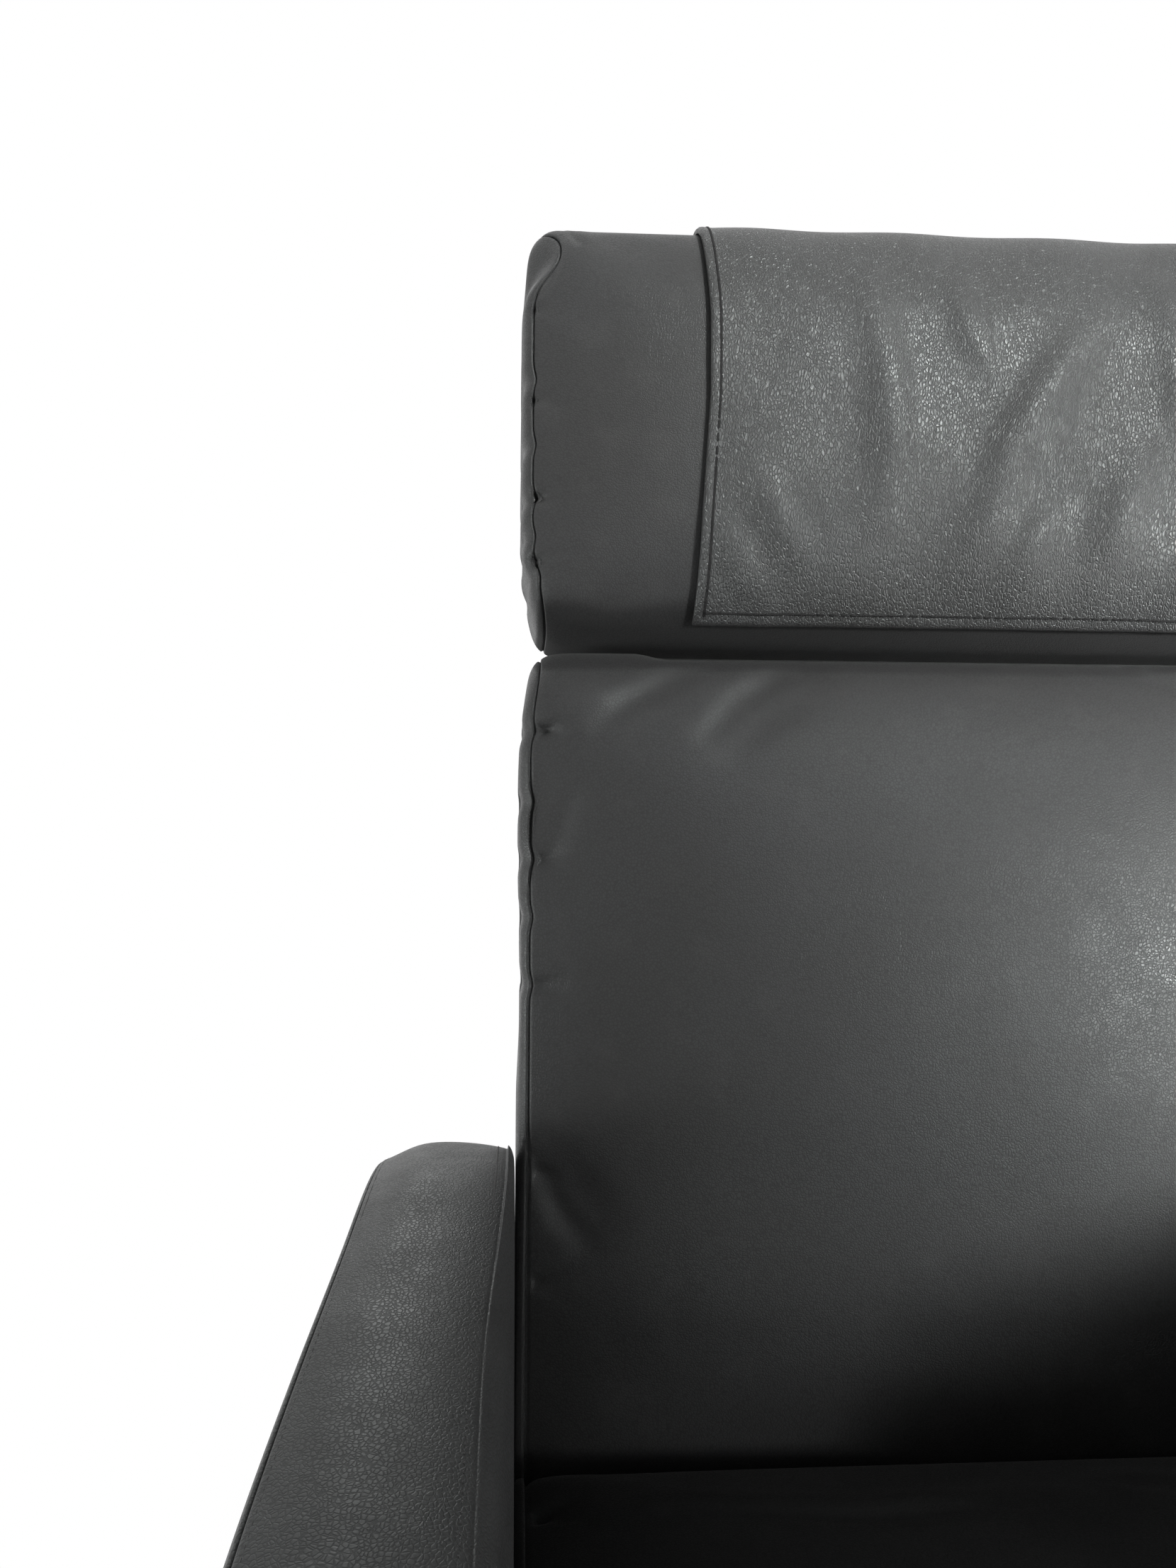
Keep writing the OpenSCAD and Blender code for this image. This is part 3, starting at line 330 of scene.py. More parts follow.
# The seat's leather is much darker than the rest: painted shade, as if the seat lay in shadow
SHADED_SEAT_LEATHER = leather("seat leather with painted shade", 0.019, 0.5, 0.12)
DARK_THREAD = thread("dark thread", 0.006)
PALE_THREAD = thread("pale thread", 0.16)
WEBBING = woven("webbing", 0.03)

HARD = {
    "frame_paint": (powder_coat, 0.022),
    "plated_steel": (metal, 0.55, 0.34, 0.03, (1, 1, 1)),
    "plywood": (plywood,),
    "black_plastic": (moulded, 0.016, 0.42),
    "nylon": (moulded, 0.6, 0.46, 300),
    "foot_plastic": (moulded, 0.02, 0.5, 380),
    "cable_sleeve": (moulded, 0.02, 0.5, 500),
    "chrome_rod": (metal, 0.8, 0.12, 0.0, (1, 0.2, 0.2)),
    "gas_paint": (powder_coat, 0.014),
}
FINISHES = {slot: make(slot.replace("_", " "), *values) for slot, (make, *values) in HARD.items()}


# Mesh helpers


def shade_smooth(piece):
    piece.data.polygons.foreach_set("use_smooth", [True] * len(piece.data.polygons))


def skin(name, points, faces):
    mesh = bpy.data.meshes.new(name)
    mesh.from_pydata(np.asarray(points).tolist(), [], [list(map(int, f)) for f in faces])
    piece = add_object(name, mesh)
    shade_smooth(piece)
    return piece


def paint(piece, material):
    piece.data.materials.clear()
    piece.data.materials.append(material)


def read(piece, what="co"):
    flat = np.empty(len(piece.data.vertices) * 3)
    piece.data.vertices.foreach_get(what, flat)
    return flat.reshape(-1, 3)


def write(piece, points):
    piece.data.vertices.foreach_set("co", np.ascontiguousarray(points).ravel())
    piece.data.update()


def read_seams_and_shade(piece):
    """How much each vertex belongs to a seam or to painted shade, from 0 to 1."""
    flat = np.empty(len(piece.data.vertices))
    piece.data.attributes["seam"].data.foreach_get("value", flat)
    return flat


def write_seams_and_shade(piece, values):
    known = piece.data.attributes
    mark = known.get("seam") or known.new("seam", "FLOAT", "POINT")
    mark.data.foreach_set("value", np.asarray(values, float))


def bake(piece):
    """Applies the piece's modifiers."""
    bpy.context.view_layer.update()
    graph = bpy.context.evaluated_depsgraph_get()
    mesh = bpy.data.meshes.new_from_object(piece.evaluated_get(graph))
    piece.modifiers.clear()
    piece.data = mesh


def refine(piece, depth):
    """Divides a skin finely, and sinks it along its seams."""
    modifier = piece.modifiers.new("fine", "SUBSURF")
    modifier.levels = 2
    bake(piece)
    shade_smooth(piece)
    sunk = depth * read_seams_and_shade(piece) ** 2
    write(piece, read(piece) - read(piece, "normal") * sunk[:, None])


def smooth(value, low, high):
    t = np.clip((value - low) / (high - low), 0, 1)
    return t * t * (3 - 2 * t)


def unit(vectors):
    return vectors / np.linalg.norm(vectors, axis=-1, keepdims=True)


def run_along(points):
    """Length of a line of points up to each of them."""
    return np.append(0, np.cumsum(np.linalg.norm(np.diff(points, axis=0), axis=1)))


def sampled(rows, length, at):
    """Rows that belong to some lengths along a line, read at other lengths."""
    return np.column_stack([np.interp(at, length, column) for column in rows.T])


def outline(corners, step):
    """Even points round corner circles (a, b, radius), counter-clockwise, and their outward normals."""
    facing = []
    for (a, b, r), (a2, b2, r2) in zip(corners, corners[1:] + corners[:1]):
        run = math.hypot(a2 - a, b2 - b)
        facing.append(math.atan2(b2 - b, a2 - a) - math.pi / 2 + math.asin((r - r2) / run))
    dense = []
    for i, (a, b, r) in enumerate(corners):
        turn = (facing[i] - facing[i - 1]) % (2 * math.pi)
        for angle in facing[i - 1] + turn * np.linspace(0, 1, 25):
            c, s = math.cos(angle), math.sin(angle)
            dense.append((a + r * c, b + r * s, c, s))
    dense = np.array(dense + dense[:1])
    length = run_along(dense[:, :2])
    total = max(12, round(length[-1] / step))
    even = sampled(dense, length, length[-1] * np.arange(total) / total)
    return even[:, :2], unit(even[:, 2:])


def rect(a, b, radii):
    """Corner circles of a rectangle, counter-clockwise from its lower ends a[0] and b[0]."""
    places = ((a[0], b[0], 1, 1), (a[1], b[0], -1, 1), (a[1], b[1], -1, -1), (a[0], b[1], 1, -1))
    return [(p + u * r, q + v * r, r) for (p, q, u, v), r in zip(places, radii)]


def bands(rings, flip):
    """Quads between neighbouring rings of vertex numbers."""
    quads = []
    for low, high in zip(rings, rings[1:]):
        quad = np.stack((low, np.roll(low, -1), np.roll(high, -1), high), -1)
        quads += (quad[:, ::-1] if flip else quad).tolist()
    return quads


def numbered(count, rings, first=0):
    """Vertex numbers of rings with count points each."""
    return [first + count * k + np.arange(count) for k in range(rings)]


def capped(rings):
    """Quads between rings, and a face over each end."""
    return bands(rings, False) + [rings[0][::-1].tolist(), rings[-1].tolist()]


def fan(ring, end, flip):
    """Triangles between a ring of vertex numbers and the vertex end."""
    pairs = zip(ring, np.roll(ring, -1))
    return [(b, a, end) if flip else (a, b, end) for a, b in pairs]


def sewn(name, line, normal, stations, left, right, middle):
    """A boxed cushion's skin: a strip round a side-view outline, closed by two end panels.

    stations are the strip's (x, insets) from seam to seam. left and right are the end panels' rings
    past the seams, and their last ring shrinks to middle.
    """
    count = len(line)
    rings = []

    def keep(points):
        rings.append(points)
        return np.arange(count) + count * (len(rings) - 1)

    def ring(x, inset):
        return keep(np.column_stack((np.full(count, x), line - normal * inset[:, None])))

    def panel(first, edges):
        numbers = [first] + [ring(x, inset) for x, inset in edges]
        last = rings[-1]
        for share in (0.84, 0.64, 0.42, 0.2, 0.07):
            inner = last.copy()
            inner[:, 1:] = middle + (last[:, 1:] - middle) * share
            numbers.append(keep(inner))
        return numbers, [last[0, 0], *middle]

    strip = [ring(x, inset) for x, inset in stations]
    left_rings, left_pole = panel(strip[0], left)
    right_rings, right_pole = panel(strip[-1], right)
    points = np.concatenate(rings + [np.array([left_pole, right_pole])])
    pole = len(points) - 2
    faces = bands(strip + right_rings[1:], False) + bands(left_rings, True)
    faces += fan(left_rings[-1], pole, True) + fan(right_rings[-1], pole + 1, False)
    piece = skin(name, points, faces)
    marks = np.zeros(len(points))
    marks[strip[0]] = 1
    marks[strip[-1]] = 1
    write_seams_and_shade(piece, marks)
    return piece


def columns(half, step):
    """Strip columns (x, inset) between seams at -half and half, close together beside the seams."""
    edge = [(0, 0.0052), (0.0014, 0.004), (0.0045, 0.0021), (0.009, 0.001), (0.017, 0.0003)]
    plain = half - 0.03
    count = max(2, round(2 * plain / step))
    inner = [(x, 0) for x in np.linspace(-plain, plain, count)]
    left = [(-half + a, b) for a, b in edge]
    return left + inner + [(-x, inset) for x, inset in reversed(left)]


def boxed(name, a, b, corners, steps, seam, crown, share=(1, 1, 0, 1), axis=1, out=-1):
    """A cushion's skin with seams at -seam and seam, and end panels that swell a little past them.

    a and b are the outline's ends, and steps the outline's and the columns'. The face that looks out has
    its crown along an axis of the outline. The panels draw in by a share that goes from its first value
    to its second, while that axis goes from the third to the fourth.
    """
    line, normal = outline(corners, steps[0])
    middle = np.array((sum(a) / 2, sum(b) / 2))
    low, high = (a, b)[axis]
    power = 2.5
    v = np.clip(np.abs(line[:, axis] - middle[axis]) / ((high - low) / 2), 0, 1)
    full = crown * (1 - v**power) * np.clip(out * normal[:, 1 - axis], 0, 1)
    stations = []
    for x, inset in columns(seam, steps[1]):
        u = min(1, abs(x) / seam)
        stations.append((x, inset - full * (1 - u**power)))
    first, last, low, high = share
    part = first + (last - first) * smooth(line[:, axis], low, high)
    edge = [(0.0013, 0.0058), (0.0034, 0.008), (0.0058, 0.013), (0.007, 0.022)]
    left, right = [[(side * (seam + a), b * part) for a, b in edge] for side in (-1, 1)]
    return sewn(name, line, normal, stations, left, right, middle)


CLOTH_FRAMES = 20
CLOTH_PRESSURE = 3
CLOTH_SPARE = 0.002


def puff(piece, facing, cap, half):
    """Blows up the face that looks along facing with the cloth solver, and keeps each move under cap."""
    before = read(piece)
    turned = 1 - smooth(read(piece, "normal") @ facing, 0.5, 0.85)
    held = np.maximum(turned, read_seams_and_shade(piece))
    group = piece.vertex_groups.new(name="held")
    for number, weight in enumerate(held):
        if weight > 0:
            group.add([number], float(weight), "REPLACE")
    modifier = piece.modifiers.new("cloth", "CLOTH")
    cloth = modifier.settings
    cloth.quality = 6
    cloth.mass = 0.3
    cloth.tension_stiffness = 40
    cloth.compression_stiffness = 20
    cloth.shear_stiffness = 12
    cloth.bending_stiffness = 1.5
    cloth.use_pressure = True
    cloth.uniform_pressure_force = CLOTH_PRESSURE
    cloth.effector_weights.gravity = 0
    cloth.vertex_group_mass = "held"
    modifier.collision_settings.use_collision = False
    for number in range(1, CLOTH_FRAMES + 1):
        scene.frame_set(number)
    bake(piece)
    scene.frame_set(1)
    move = read(piece) - before
    length = np.linalg.norm(move, axis=1)[:, None]
    after = before + move * np.minimum(1, cap / np.maximum(length, 1e-9))
    limit = half + CLOTH_SPARE
    after[:, 0] = np.clip(after[:, 0], -limit, limit)
    write(piece, after)


def along(points, path):
    """Distance of points to a path, its sign by side, and the share of the path at the nearest place."""
    path = np.asarray(path, float)
    signed = np.full(len(points), 9.0)
    share = np.zeros(len(points))
    steps = np.linalg.norm(np.diff(path, axis=0), axis=1)
    done = 0
    for a, b, step in zip(path, path[1:], steps):
        t = np.clip((points - a) @ (b - a) / step**2, 0, 1)
        off = points - a - t[:, None] * (b - a)
        distance = np.linalg.norm(off, axis=1)
        cross = (b - a)[0] * off[:, 1] - (b - a)[1] * off[:, 0]
        near = distance < np.abs(signed)
        signed[near] = np.where(cross < 0, -distance, distance)[near]
        share[near] = (done + t[near] * step) / steps.sum()
        done += step
    return signed, share


def bell(value, width):
    return np.exp(-((value / width) ** 2))


def fold(plane, path, width, depth, roll):
    """Height of a fold: a valley along the path, and a soft roll beside it on one side."""
    off, share = along(plane, path)
    taper = np.sin(np.pi * np.clip(0.12 + 0.88 * share, 0, 1)) ** 0.7
    return taper * (roll * bell(off - 2.1 * width, 1.5 * width) - depth * bell(off, width))


def ridge(plane, path, width, height):
    off, share = along(plane, path)
    return np.sin(np.pi * np.clip(0.1 + 0.8 * share, 0, 1)) * height * bell(off, width)


def pucker(plane, dice, at, reach, depth):
    """Short creases that fan out from a tight place of a seam, towards the middle."""
    inward = -np.sign(at[0])
    height = np.zeros(len(plane))
    for slope in (-0.42, 0.02, 0.4):
        slope += dice.uniform(-0.12, 0.12)
        length = reach * dice.uniform(0.7, 1.15)
        end = (at[0] + inward * length, at[1] + slope * length)
        off, share = along(plane, [at, end])
        height -= depth * (1 - share) ** 0.8 * bell(off, 0.0022 + 0.003 * share)
    spot = np.linalg.norm(plane - np.asarray(at), axis=1)
    return height - 0.2 * depth * bell(spot, 0.007)


def puckers(plane, seed, seam, places, reach, stray=0):
    """Puckers beside both seams, at places (position along the seam, depth) that stray a little."""
    dice = np.random.default_rng(seed)
    height = np.zeros(len(plane))
    for side in (-1, 1):
        for at, depth in places:
            if stray:
                at += dice.uniform(-stray, stray)
            height += pucker(plane, dice, (side * seam, at), reach, depth)
    return height


def embossed(piece, height, facing, low, high):
    """A skin's points, raised by height where it looks along facing."""
    normal = read(piece, "normal")
    return read(piece) + normal * (height * smooth(normal @ facing, low, high))[:, None]


def nipped(points, places, seam):
    """Draws the edges beside both seams inwards at some heights, as tight stitches do."""
    depth, width, reach = 0.0018, 0.006, 0.03
    drawn = np.zeros(len(points))
    for z in places:
        drawn += bell(points[:, 2] - z, width)
    drawn *= smooth(np.abs(points[:, 0]), seam - reach, seam)
    points[:, 0] -= np.sign(points[:, 0]) * depth * drawn
    return points


def paint_gap_shade(piece, way, share):
    """Painted shade: darkens and dulls the leather that faces up or down into the gap between head and
    back.
    """
    turned = smooth(way * read(piece, "normal")[:, 2], 0.2, 0.7)
    write_seams_and_shade(piece, np.maximum(read_seams_and_shade(piece), turned * share))


def cut(piece, line, low, high):
    """Cuts a hole with the side-view outline line into a skin, from x = low to x = high."""
    count = len(line)
    ends = [np.column_stack((np.full(count, x), line)) for x in (low, high)]
    cutter = skin("cutter", np.concatenate(ends), capped(numbered(count, 2)))
    modifier = piece.modifiers.new("hole", "BOOLEAN")
    modifier.operation = "DIFFERENCE"
    modifier.solver = "EXACT"
    modifier.object = cutter
    bake(piece)
    bpy.data.objects.remove(cutter)


def settle(piece, place, body, node, material):
    """Puts a finished local skin in place, gives it its finish and its body."""
    piece.data.transform(place)
    piece.data.update()
    paint(piece, material)
    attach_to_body(piece, body)
    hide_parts(node)


def attach(piece, place, body):
    """Puts a sewn extra, which stands for no node, in place on its body."""
    piece.data.transform(place)
    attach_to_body(piece, body)


def strand(name, points, normals, length, radius, material):
    """Stitches as flat rounded rods that lie along a line of points, one from each point."""
    shape = [(-0.5, 0.15), (-0.42, 0.8), (-0.2, 1), (0.2, 1), (0.42, 0.8), (0.5, 0.15)]
    sides = 6
    flat = 0.75
    angles = 2 * math.pi * np.arange(sides) / sides
    heading = unit(np.gradient(points, axis=0))
    across = unit(np.cross(heading, normals))
    up = np.cross(across, heading)
    vertices = []
    faces = []
    for p, h, a, u in zip(points, heading, across, up):
        faces += capped(numbered(sides, len(shape), len(vertices)))
        ring = np.outer(np.cos(angles), a) + flat * np.outer(np.sin(angles), u)
        for place, thick in shape:
            vertices += list(p + h * length * place + radius * thick * ring)
    piece = skin(name, vertices, faces)
    paint(piece, material)
    return piece


def spaced(points, pitch):
    """The same line with even steps of about pitch."""
    points = np.asarray(points)
    length = run_along(points)
    count = max(2, round(length[-1] / pitch))
    return sampled(points, length, (np.arange(count) + 0.5) * length[-1] / count)


def eased(points, each):
    """A smooth line through points, with some steps between each two."""
    points = np.asarray(points, float)
    ends = np.concatenate((2 * points[:1] - points[1:2], points, 2 * points[-1:] - points[-2:-1]))
    line = []
    for a, b, c, d in zip(ends, ends[1:], ends[2:], ends[3:]):
        for t in np.arange(each) / each:
            bend = (2 * a - 5 * b + 4 * c - d) * t**2 + (3 * b - a - 3 * c + d) * t**3
            line.append(b + 0.5 * ((c - a) * t + bend))
    return np.array(line + [points[-1]])


def tube(name, path, radius, sides, closed=False):
    """A round tube along a path, without twist."""
    path = np.asarray(path, float)
    if closed:
        heading = np.roll(path, -1, axis=0) - np.roll(path, 1, axis=0)
    else:
        heading = np.gradient(path, axis=0)
    heading = unit(heading)
    side = np.cross(heading[0], (0.31, 0.42, 0.85))
    angles = 2 * math.pi * np.arange(sides) / sides
    points = []
    for p, h in zip(path, heading):
        side = unit(side - h * (side @ h))
        ring = np.outer(np.cos(angles), side) + np.outer(np.sin(angles), np.cross(h, side))
        points.append(p + radius * ring)
    rings = numbered(sides, len(path))
    faces = bands(rings + rings[:1], False) if closed else capped(rings)
    return skin(name, np.concatenate(points), faces)


# Back cushion

# Puckers as (height, depth), folds of one half as (x, z), and the half width that the arms leave
BACK_PUCKERS = [(0.4146, 0.0026), (0.337, 0.0014), (0.262, 0.001), (0.152, 0.0014), (0.09, 0.001)]
BACK_NIPS = (0.4146, 0.372, 0.337, 0.302, 0.262)
BACK_FOLDS = [
    [(-0.18, 0.452), (-0.2, 0.442), (-0.222, 0.43), (-0.236, 0.416), (-0.248, 0.396)],
    [(-0.268, 0.338), (-0.258, 0.358), (-0.246, 0.382)],
    [(-0.269, 0.152), (-0.2565, 0.129), (-0.236, 0.108)],
    [(-0.12, 0.452), (-0.15, 0.434), (-0.176, 0.404)],
]
BACK_ROLL = [(-0.16, 0.05), (0.0, 0.03), (0.16, 0.05)]
REACH_Z = (0.19, 0.225, 0.29, 0.34, 0.4)
REACH_X = (0.2832, 0.2815, 0.2815, 0.2838, 0.285)
FULLER = 1.0155


def make_back():
    deep, high = (0, BACK_T), BACK_Z[1]
    corners = rect(deep, BACK_Z, (0.034, 0.02, 0.02, 0.042))
    seam = CUSHION_X - SEAM_IN
    share = (0.15, 1, 0.02, 0.22)
    piece = boxed("back_cushion_skin", deep, BACK_Z, corners, (0.013, 0.02), seam, 0.026, share)
    puff(piece, FRONT, 0.006, CUSHION_X)
    points = read(piece)
    x, z = points[:, 0], points[:, 2]
    reach = np.interp(z, REACH_Z, REACH_X)
    points[:, 0] = np.clip(x * (FULLER - 0.022 * smooth(z, 0.405, 0.465)), -reach, reach)
    write(piece, points)
    refine(piece, 0.0016)
    # Room under the flap's edge, for the head to tilt
    points = read(piece)
    x, y, z = points.T.copy()
    dip = 0.0036 * smooth(y, 0.014, 0.026) * (1 - smooth(y, 0.034, 0.05))
    dip += 0.0013 * smooth(y, 0.03, 0.042) * (1 - smooth(y, 0.056, 0.07))
    points[:, 2] -= dip * smooth(z, 0.43, 0.46) * (1 - smooth(np.abs(x), 0.188, 0.21))
    write(piece, points)
    plane = points[:, (0, 2)]
    height = puckers(plane, 21, seam, BACK_PUCKERS, 0.034)
    for side in (-1, 1):
        for path in BACK_FOLDS:
            mirrored = [(-side * x, z) for x, z in path]
            height += fold(plane, mirrored, 0.008, 0.0036, 0.0026 * side)
    height += ridge(plane, BACK_ROLL, 0.03, 0.003)
    points = embossed(piece, height, FRONT, 0.1, 0.6)
    write(piece, nipped(points, BACK_NIPS, seam))
    # Painted shade on the back's top, which faces up into the gap under the head
    paint_gap_shade(piece, 1, smooth(read(piece)[:, 2], high - 0.03, high - 0.01))
    settle(piece, ON_BACK, "back", "back_cushion", CHARCOAL)


make_back()


# Head cushion

HEAD_PUCKERS = [(0.622, 0.001), (0.56, 0.0018), (0.52, 0.0016), (0.68, 0.0008)]
HEAD_NIPS = (0.636, 0.594, 0.56, 0.536, 0.512)
HEAD_FOLDS = [[(0.277, 0.686), (0.266, 0.698), (0.26, 0.716)], [(0.252, 0.736), (0.246, 0.722)]]


def make_head():
    deep, low = (0, HEAD_T), HEAD_Z[0]
    corners = rect(deep, HEAD_Z, (0.044, 0.02, 0.03, HEAD_TOP_R))
    seam = HEAD_X - SEAM_IN
    piece = boxed("head_cushion_skin", deep, HEAD_Z, corners, (0.011, 0.018), seam, 0.014)
    puff(piece, FRONT, 0.004, HEAD_X)
    # The upper and lower corners draw in, and a small ear stands up beside each seam
    points = read(piece)
    x, y, z = points.T
    ear = smooth(z, 0.688, 0.716) * smooth(np.abs(x), 0.236, 0.268)
    upper = (0.003 + 0.014 * (1 - smooth(y, 0.01, 0.032))) * ear
    lower = 0.009 * (1 - smooth(z, 0.476, 0.535)) * smooth(np.abs(x), 0.2, 0.27)
    points[:, 0] -= np.sign(x) * (upper + lower)
    points[:, 2] += 0.0035 * smooth(z, 0.72, 0.74) * bell(np.abs(x) - 0.266, 0.01)
    write(piece, points)
    refine(piece, 0.0018)
    plane = read(piece)[:, (0, 2)]
    height = puckers(plane, 5, seam, HEAD_PUCKERS, 0.03)
    for side in (-1, 1):
        for path in HEAD_FOLDS:
            height += fold(plane, [(side * x, z) for x, z in path], 0.003, 0.0014, 0.0008)
    points = embossed(piece, height, FRONT, 0.0, 0.5)
    write(piece, nipped(points, HEAD_NIPS, seam))
    # Painted shade on the head's underside, which faces down into the gap above the back
    paint_gap_shade(piece, -1, 1 - smooth(read(piece)[:, 2], low + 0.02, low + 0.05))
    return piece


head = make_head()


# Flap over the head cushion


FLAP_STEP = 0.0035
FLAP_HEM = 0.0015 * np.arange(7)
FLAP_CLEAR = 0.0012
FLAP_THICK = 0.003


def grid_normals(grid):
    return unit(np.cross(np.gradient(grid, axis=0), np.gradient(grid, axis=1)))


def closed_sheet(grid, thick):
    """Points and faces of a sheet with grid as its inner face, and its outer face thick further out."""
    columns_n, rows_n = grid.shape[:2]
    half = columns_n * rows_n
    number = np.arange(half).reshape(columns_n, rows_n)
    a, b = number[:-1, :-1].ravel(), number[1:, :-1].ravel()
    c, d = number[1:, 1:].ravel(), number[:-1, 1:].ravel()
    outer = np.stack((a, b, c, d), -1) + half
    inner = np.stack((a, d, c, b), -1)
    rim = np.concatenate((number[:, 0], number[-1, 1:], number[-2::-1, -1], number[0, -2:0:-1]))
    after = np.roll(rim, -1)
    edge = np.stack((rim, after, after + half, rim + half), -1)
    raised = grid + grid_normals(grid) * thick[..., None]
    points = np.concatenate((grid.reshape(-1, 3), raised.reshape(-1, 3)))
    return points, np.concatenate((outer, inner, edge))


def flap_base(head, across):
    """Rows of the flap's inner face: dropped on the head cushion in front and on top, hanging behind."""
    tree = BVHTree.FromPolygons(read(head).tolist(), [list(f.vertices) for f in head.data.polygons])
    low, high = HEAD_Z
    rear, drop, bend = 0.1381, 0.15, 0.014
    away = 0.1
    r = HEAD_TOP_R
    heights = np.append(low + 0.011 + FLAP_HEM, np.arange(low + 0.0235, high - r, FLAP_STEP))
    rays = [(-away, z, 1, 0) for z in heights]
    for angle in np.linspace(0, math.pi / 2, 18)[1:]:
        c, s = math.cos(angle), math.sin(angle)
        rays.append((r - away * c, high - r + away * s, c, -s))
    rays += [(y, high + away, 0, -1) for y in np.arange(r + 0.004, HEAD_T - 0.034, 0.004)]
    front = np.empty((len(across), len(rays), 3))
    for i, x in enumerate(across):
        for k, (y, z, dy, dz) in enumerate(rays):
            hit = tree.ray_cast(Vector((x, y, z)), Vector((0, dy, dz)))[0]
            front[i, k] = hit - FLAP_CLEAR * Vector((0, dy, dz))
    top = front[:, -1, 2].mean()
    back = [(y, top) for y in np.arange(HEAD_T - 0.03, rear - bend, 0.004)]
    for angle in np.linspace(0, math.pi / 2, 9):
        back.append((rear - bend + bend * math.sin(angle), top - bend + bend * math.cos(angle)))
    back += [(rear, z) for z in np.linspace(top - bend - 0.004, high - drop, 32)]
    hung = np.empty((len(across), len(back), 3))
    hung[:, :, 0] = across[:, None]
    hung[:, :, 1:] = np.array(back)[None]
    return np.concatenate((front, hung), axis=1), len(rays)


def relaxed(grid, rounds):
    for _ in range(rounds):
        grid[:, 1:-1] += 0.5 * ((grid[:, :-2] + grid[:, 2:]) / 2 - grid[:, 1:-1])
        grid[1:-1] += 0.5 * ((grid[:-2] + grid[2:]) / 2 - grid[1:-1])
    return grid


FLAP_RIDGES = [
    ([(0.072, 0.668), (0.042, 0.628), (0.018, 0.59), (0.004, 0.55), (-0.01, 0.522)], 0.015, 0.0056),
    ([(-0.068, 0.69), (-0.06, 0.64), (-0.058, 0.593), (-0.063, 0.55)], 0.013, 0.004),
    ([(-0.014, 0.69), (-0.006, 0.66), (0.004, 0.636)], 0.01, 0.0026),
    ([(-0.148, 0.57), (-0.13, 0.542), (-0.112, 0.518)], 0.012, 0.0024),
    ([(-0.166, 0.536), (-0.15, 0.512), (-0.136, 0.496)], 0.01, 0.002),
    ([(0.044, 0.56), (0.03, 0.532), (0.02, 0.51)], 0.01, 0.0028),
    ([(0.105, 0.6), (0.088, 0.556), (0.074, 0.516)], 0.014, 0.004),
    ([(0.126, 0.69), (0.132, 0.63), (0.124, 0.575)], 0.014, 0.004),
    ([(0.16, 0.56), (0.14, 0.524), (0.13, 0.5)], 0.01, 0.0032),
]
FLAP_EDGE_Z = (0.483, 0.548, 0.621, 0.673, 0.7465)
FLAP_EDGE_IN = (0.0042, 0.0072, 0.0124, 0.0129, 0.0095)


def make_flap(head):
    plain = np.arange(-FLAP_X + 0.0125, FLAP_X - 0.011, FLAP_STEP)
    across = np.concatenate((-FLAP_X + FLAP_HEM, plain, (FLAP_X - FLAP_HEM)[::-1]))
    grid, front_rows = flap_base(head, across)
    grid = relaxed(grid, 6)
    plane = grid[:, :front_rows][..., (0, 2)].reshape(-1, 2)
    height = np.full(len(plane), FLAP_CLEAR)
    for path, width, rise in FLAP_RIDGES:
        height += ridge(plane, path, width, 1.3 * rise)
    height += 0.0008 * np.sin(plane[:, 0] * 61 + 0.8) * np.sin(plane[:, 1] * 47 + 2.1)
    lift = np.full(grid.shape[:2], FLAP_CLEAR)
    lift[:, :front_rows] = height.reshape(len(across), front_rows)
    inset = FLAP_X - np.abs(across)
    lift *= smooth(inset, -0.02, 0.02)[:, None] * 0.5 + 0.5
    grid += grid_normals(grid) * lift[..., None]
    drawn = np.interp(grid[..., 2], FLAP_EDGE_Z, FLAP_EDGE_IN)
    drawn[:, front_rows:] = np.linspace(FLAP_EDGE_IN[-1], 0.004, grid.shape[1] - front_rows)
    grid[..., 0] -= drawn * smooth(np.abs(grid[..., 0]), 0.08, FLAP_X) * np.sign(across)[:, None]
    run = run_along(grid[len(across) // 2])
    rim = np.minimum(inset[:, None], np.minimum(run, run[-1] - run)[None])
    hem = 0.0008 * (1 - smooth(rim, 0.002, 0.009))
    thick = FLAP_THICK + hem - 0.0012 * (1 - smooth(rim, 0, 0.002))
    piece = skin("head_flap_sheet", *closed_sheet(grid, thick))
    facing = grid_normals(grid)
    outer = np.concatenate((grid + facing * (thick - 0.0001)[..., None], facing), axis=2)
    for number, line in enumerate((outer[4, 4:-6], outer[-5, 4:-6], outer[4:-4, 4])):
        row = spaced(line, 0.0086)
        sewing = strand(f"flap_stitches_{number}", row[:, :3], row[:, 3:], 0.0058, 0.0009, DARK_THREAD)
        attach(sewing, ON_BACK, "head")
    settle(piece, ON_BACK, "head", "head_flap", FLAP_LEATHER)


def hinge_slots(piece):
    """Cuts the two slots for the head hinges into the rear of the head cushion."""
    front, closed, rear = 0.034, 0.08, HEAD_T + 0.02
    under, shelf, top = np.array((-0.02, 0.016, 0.171)) + HEAD_Z[0]
    line = [(front, shelf), (closed, shelf), (closed + 0.008, under), (rear, under)]
    line += [(rear, top), (front, top)]
    hinge_x, half = 0.127, 0.0135
    for x in (-hinge_x, hinge_x):
        cut(piece, np.array(line), x - half, x + half)


make_flap(head)
hinge_slots(head)
settle(head, ON_BACK, "head", "head_cushion", CHARCOAL)


# Seat, legrest and arms


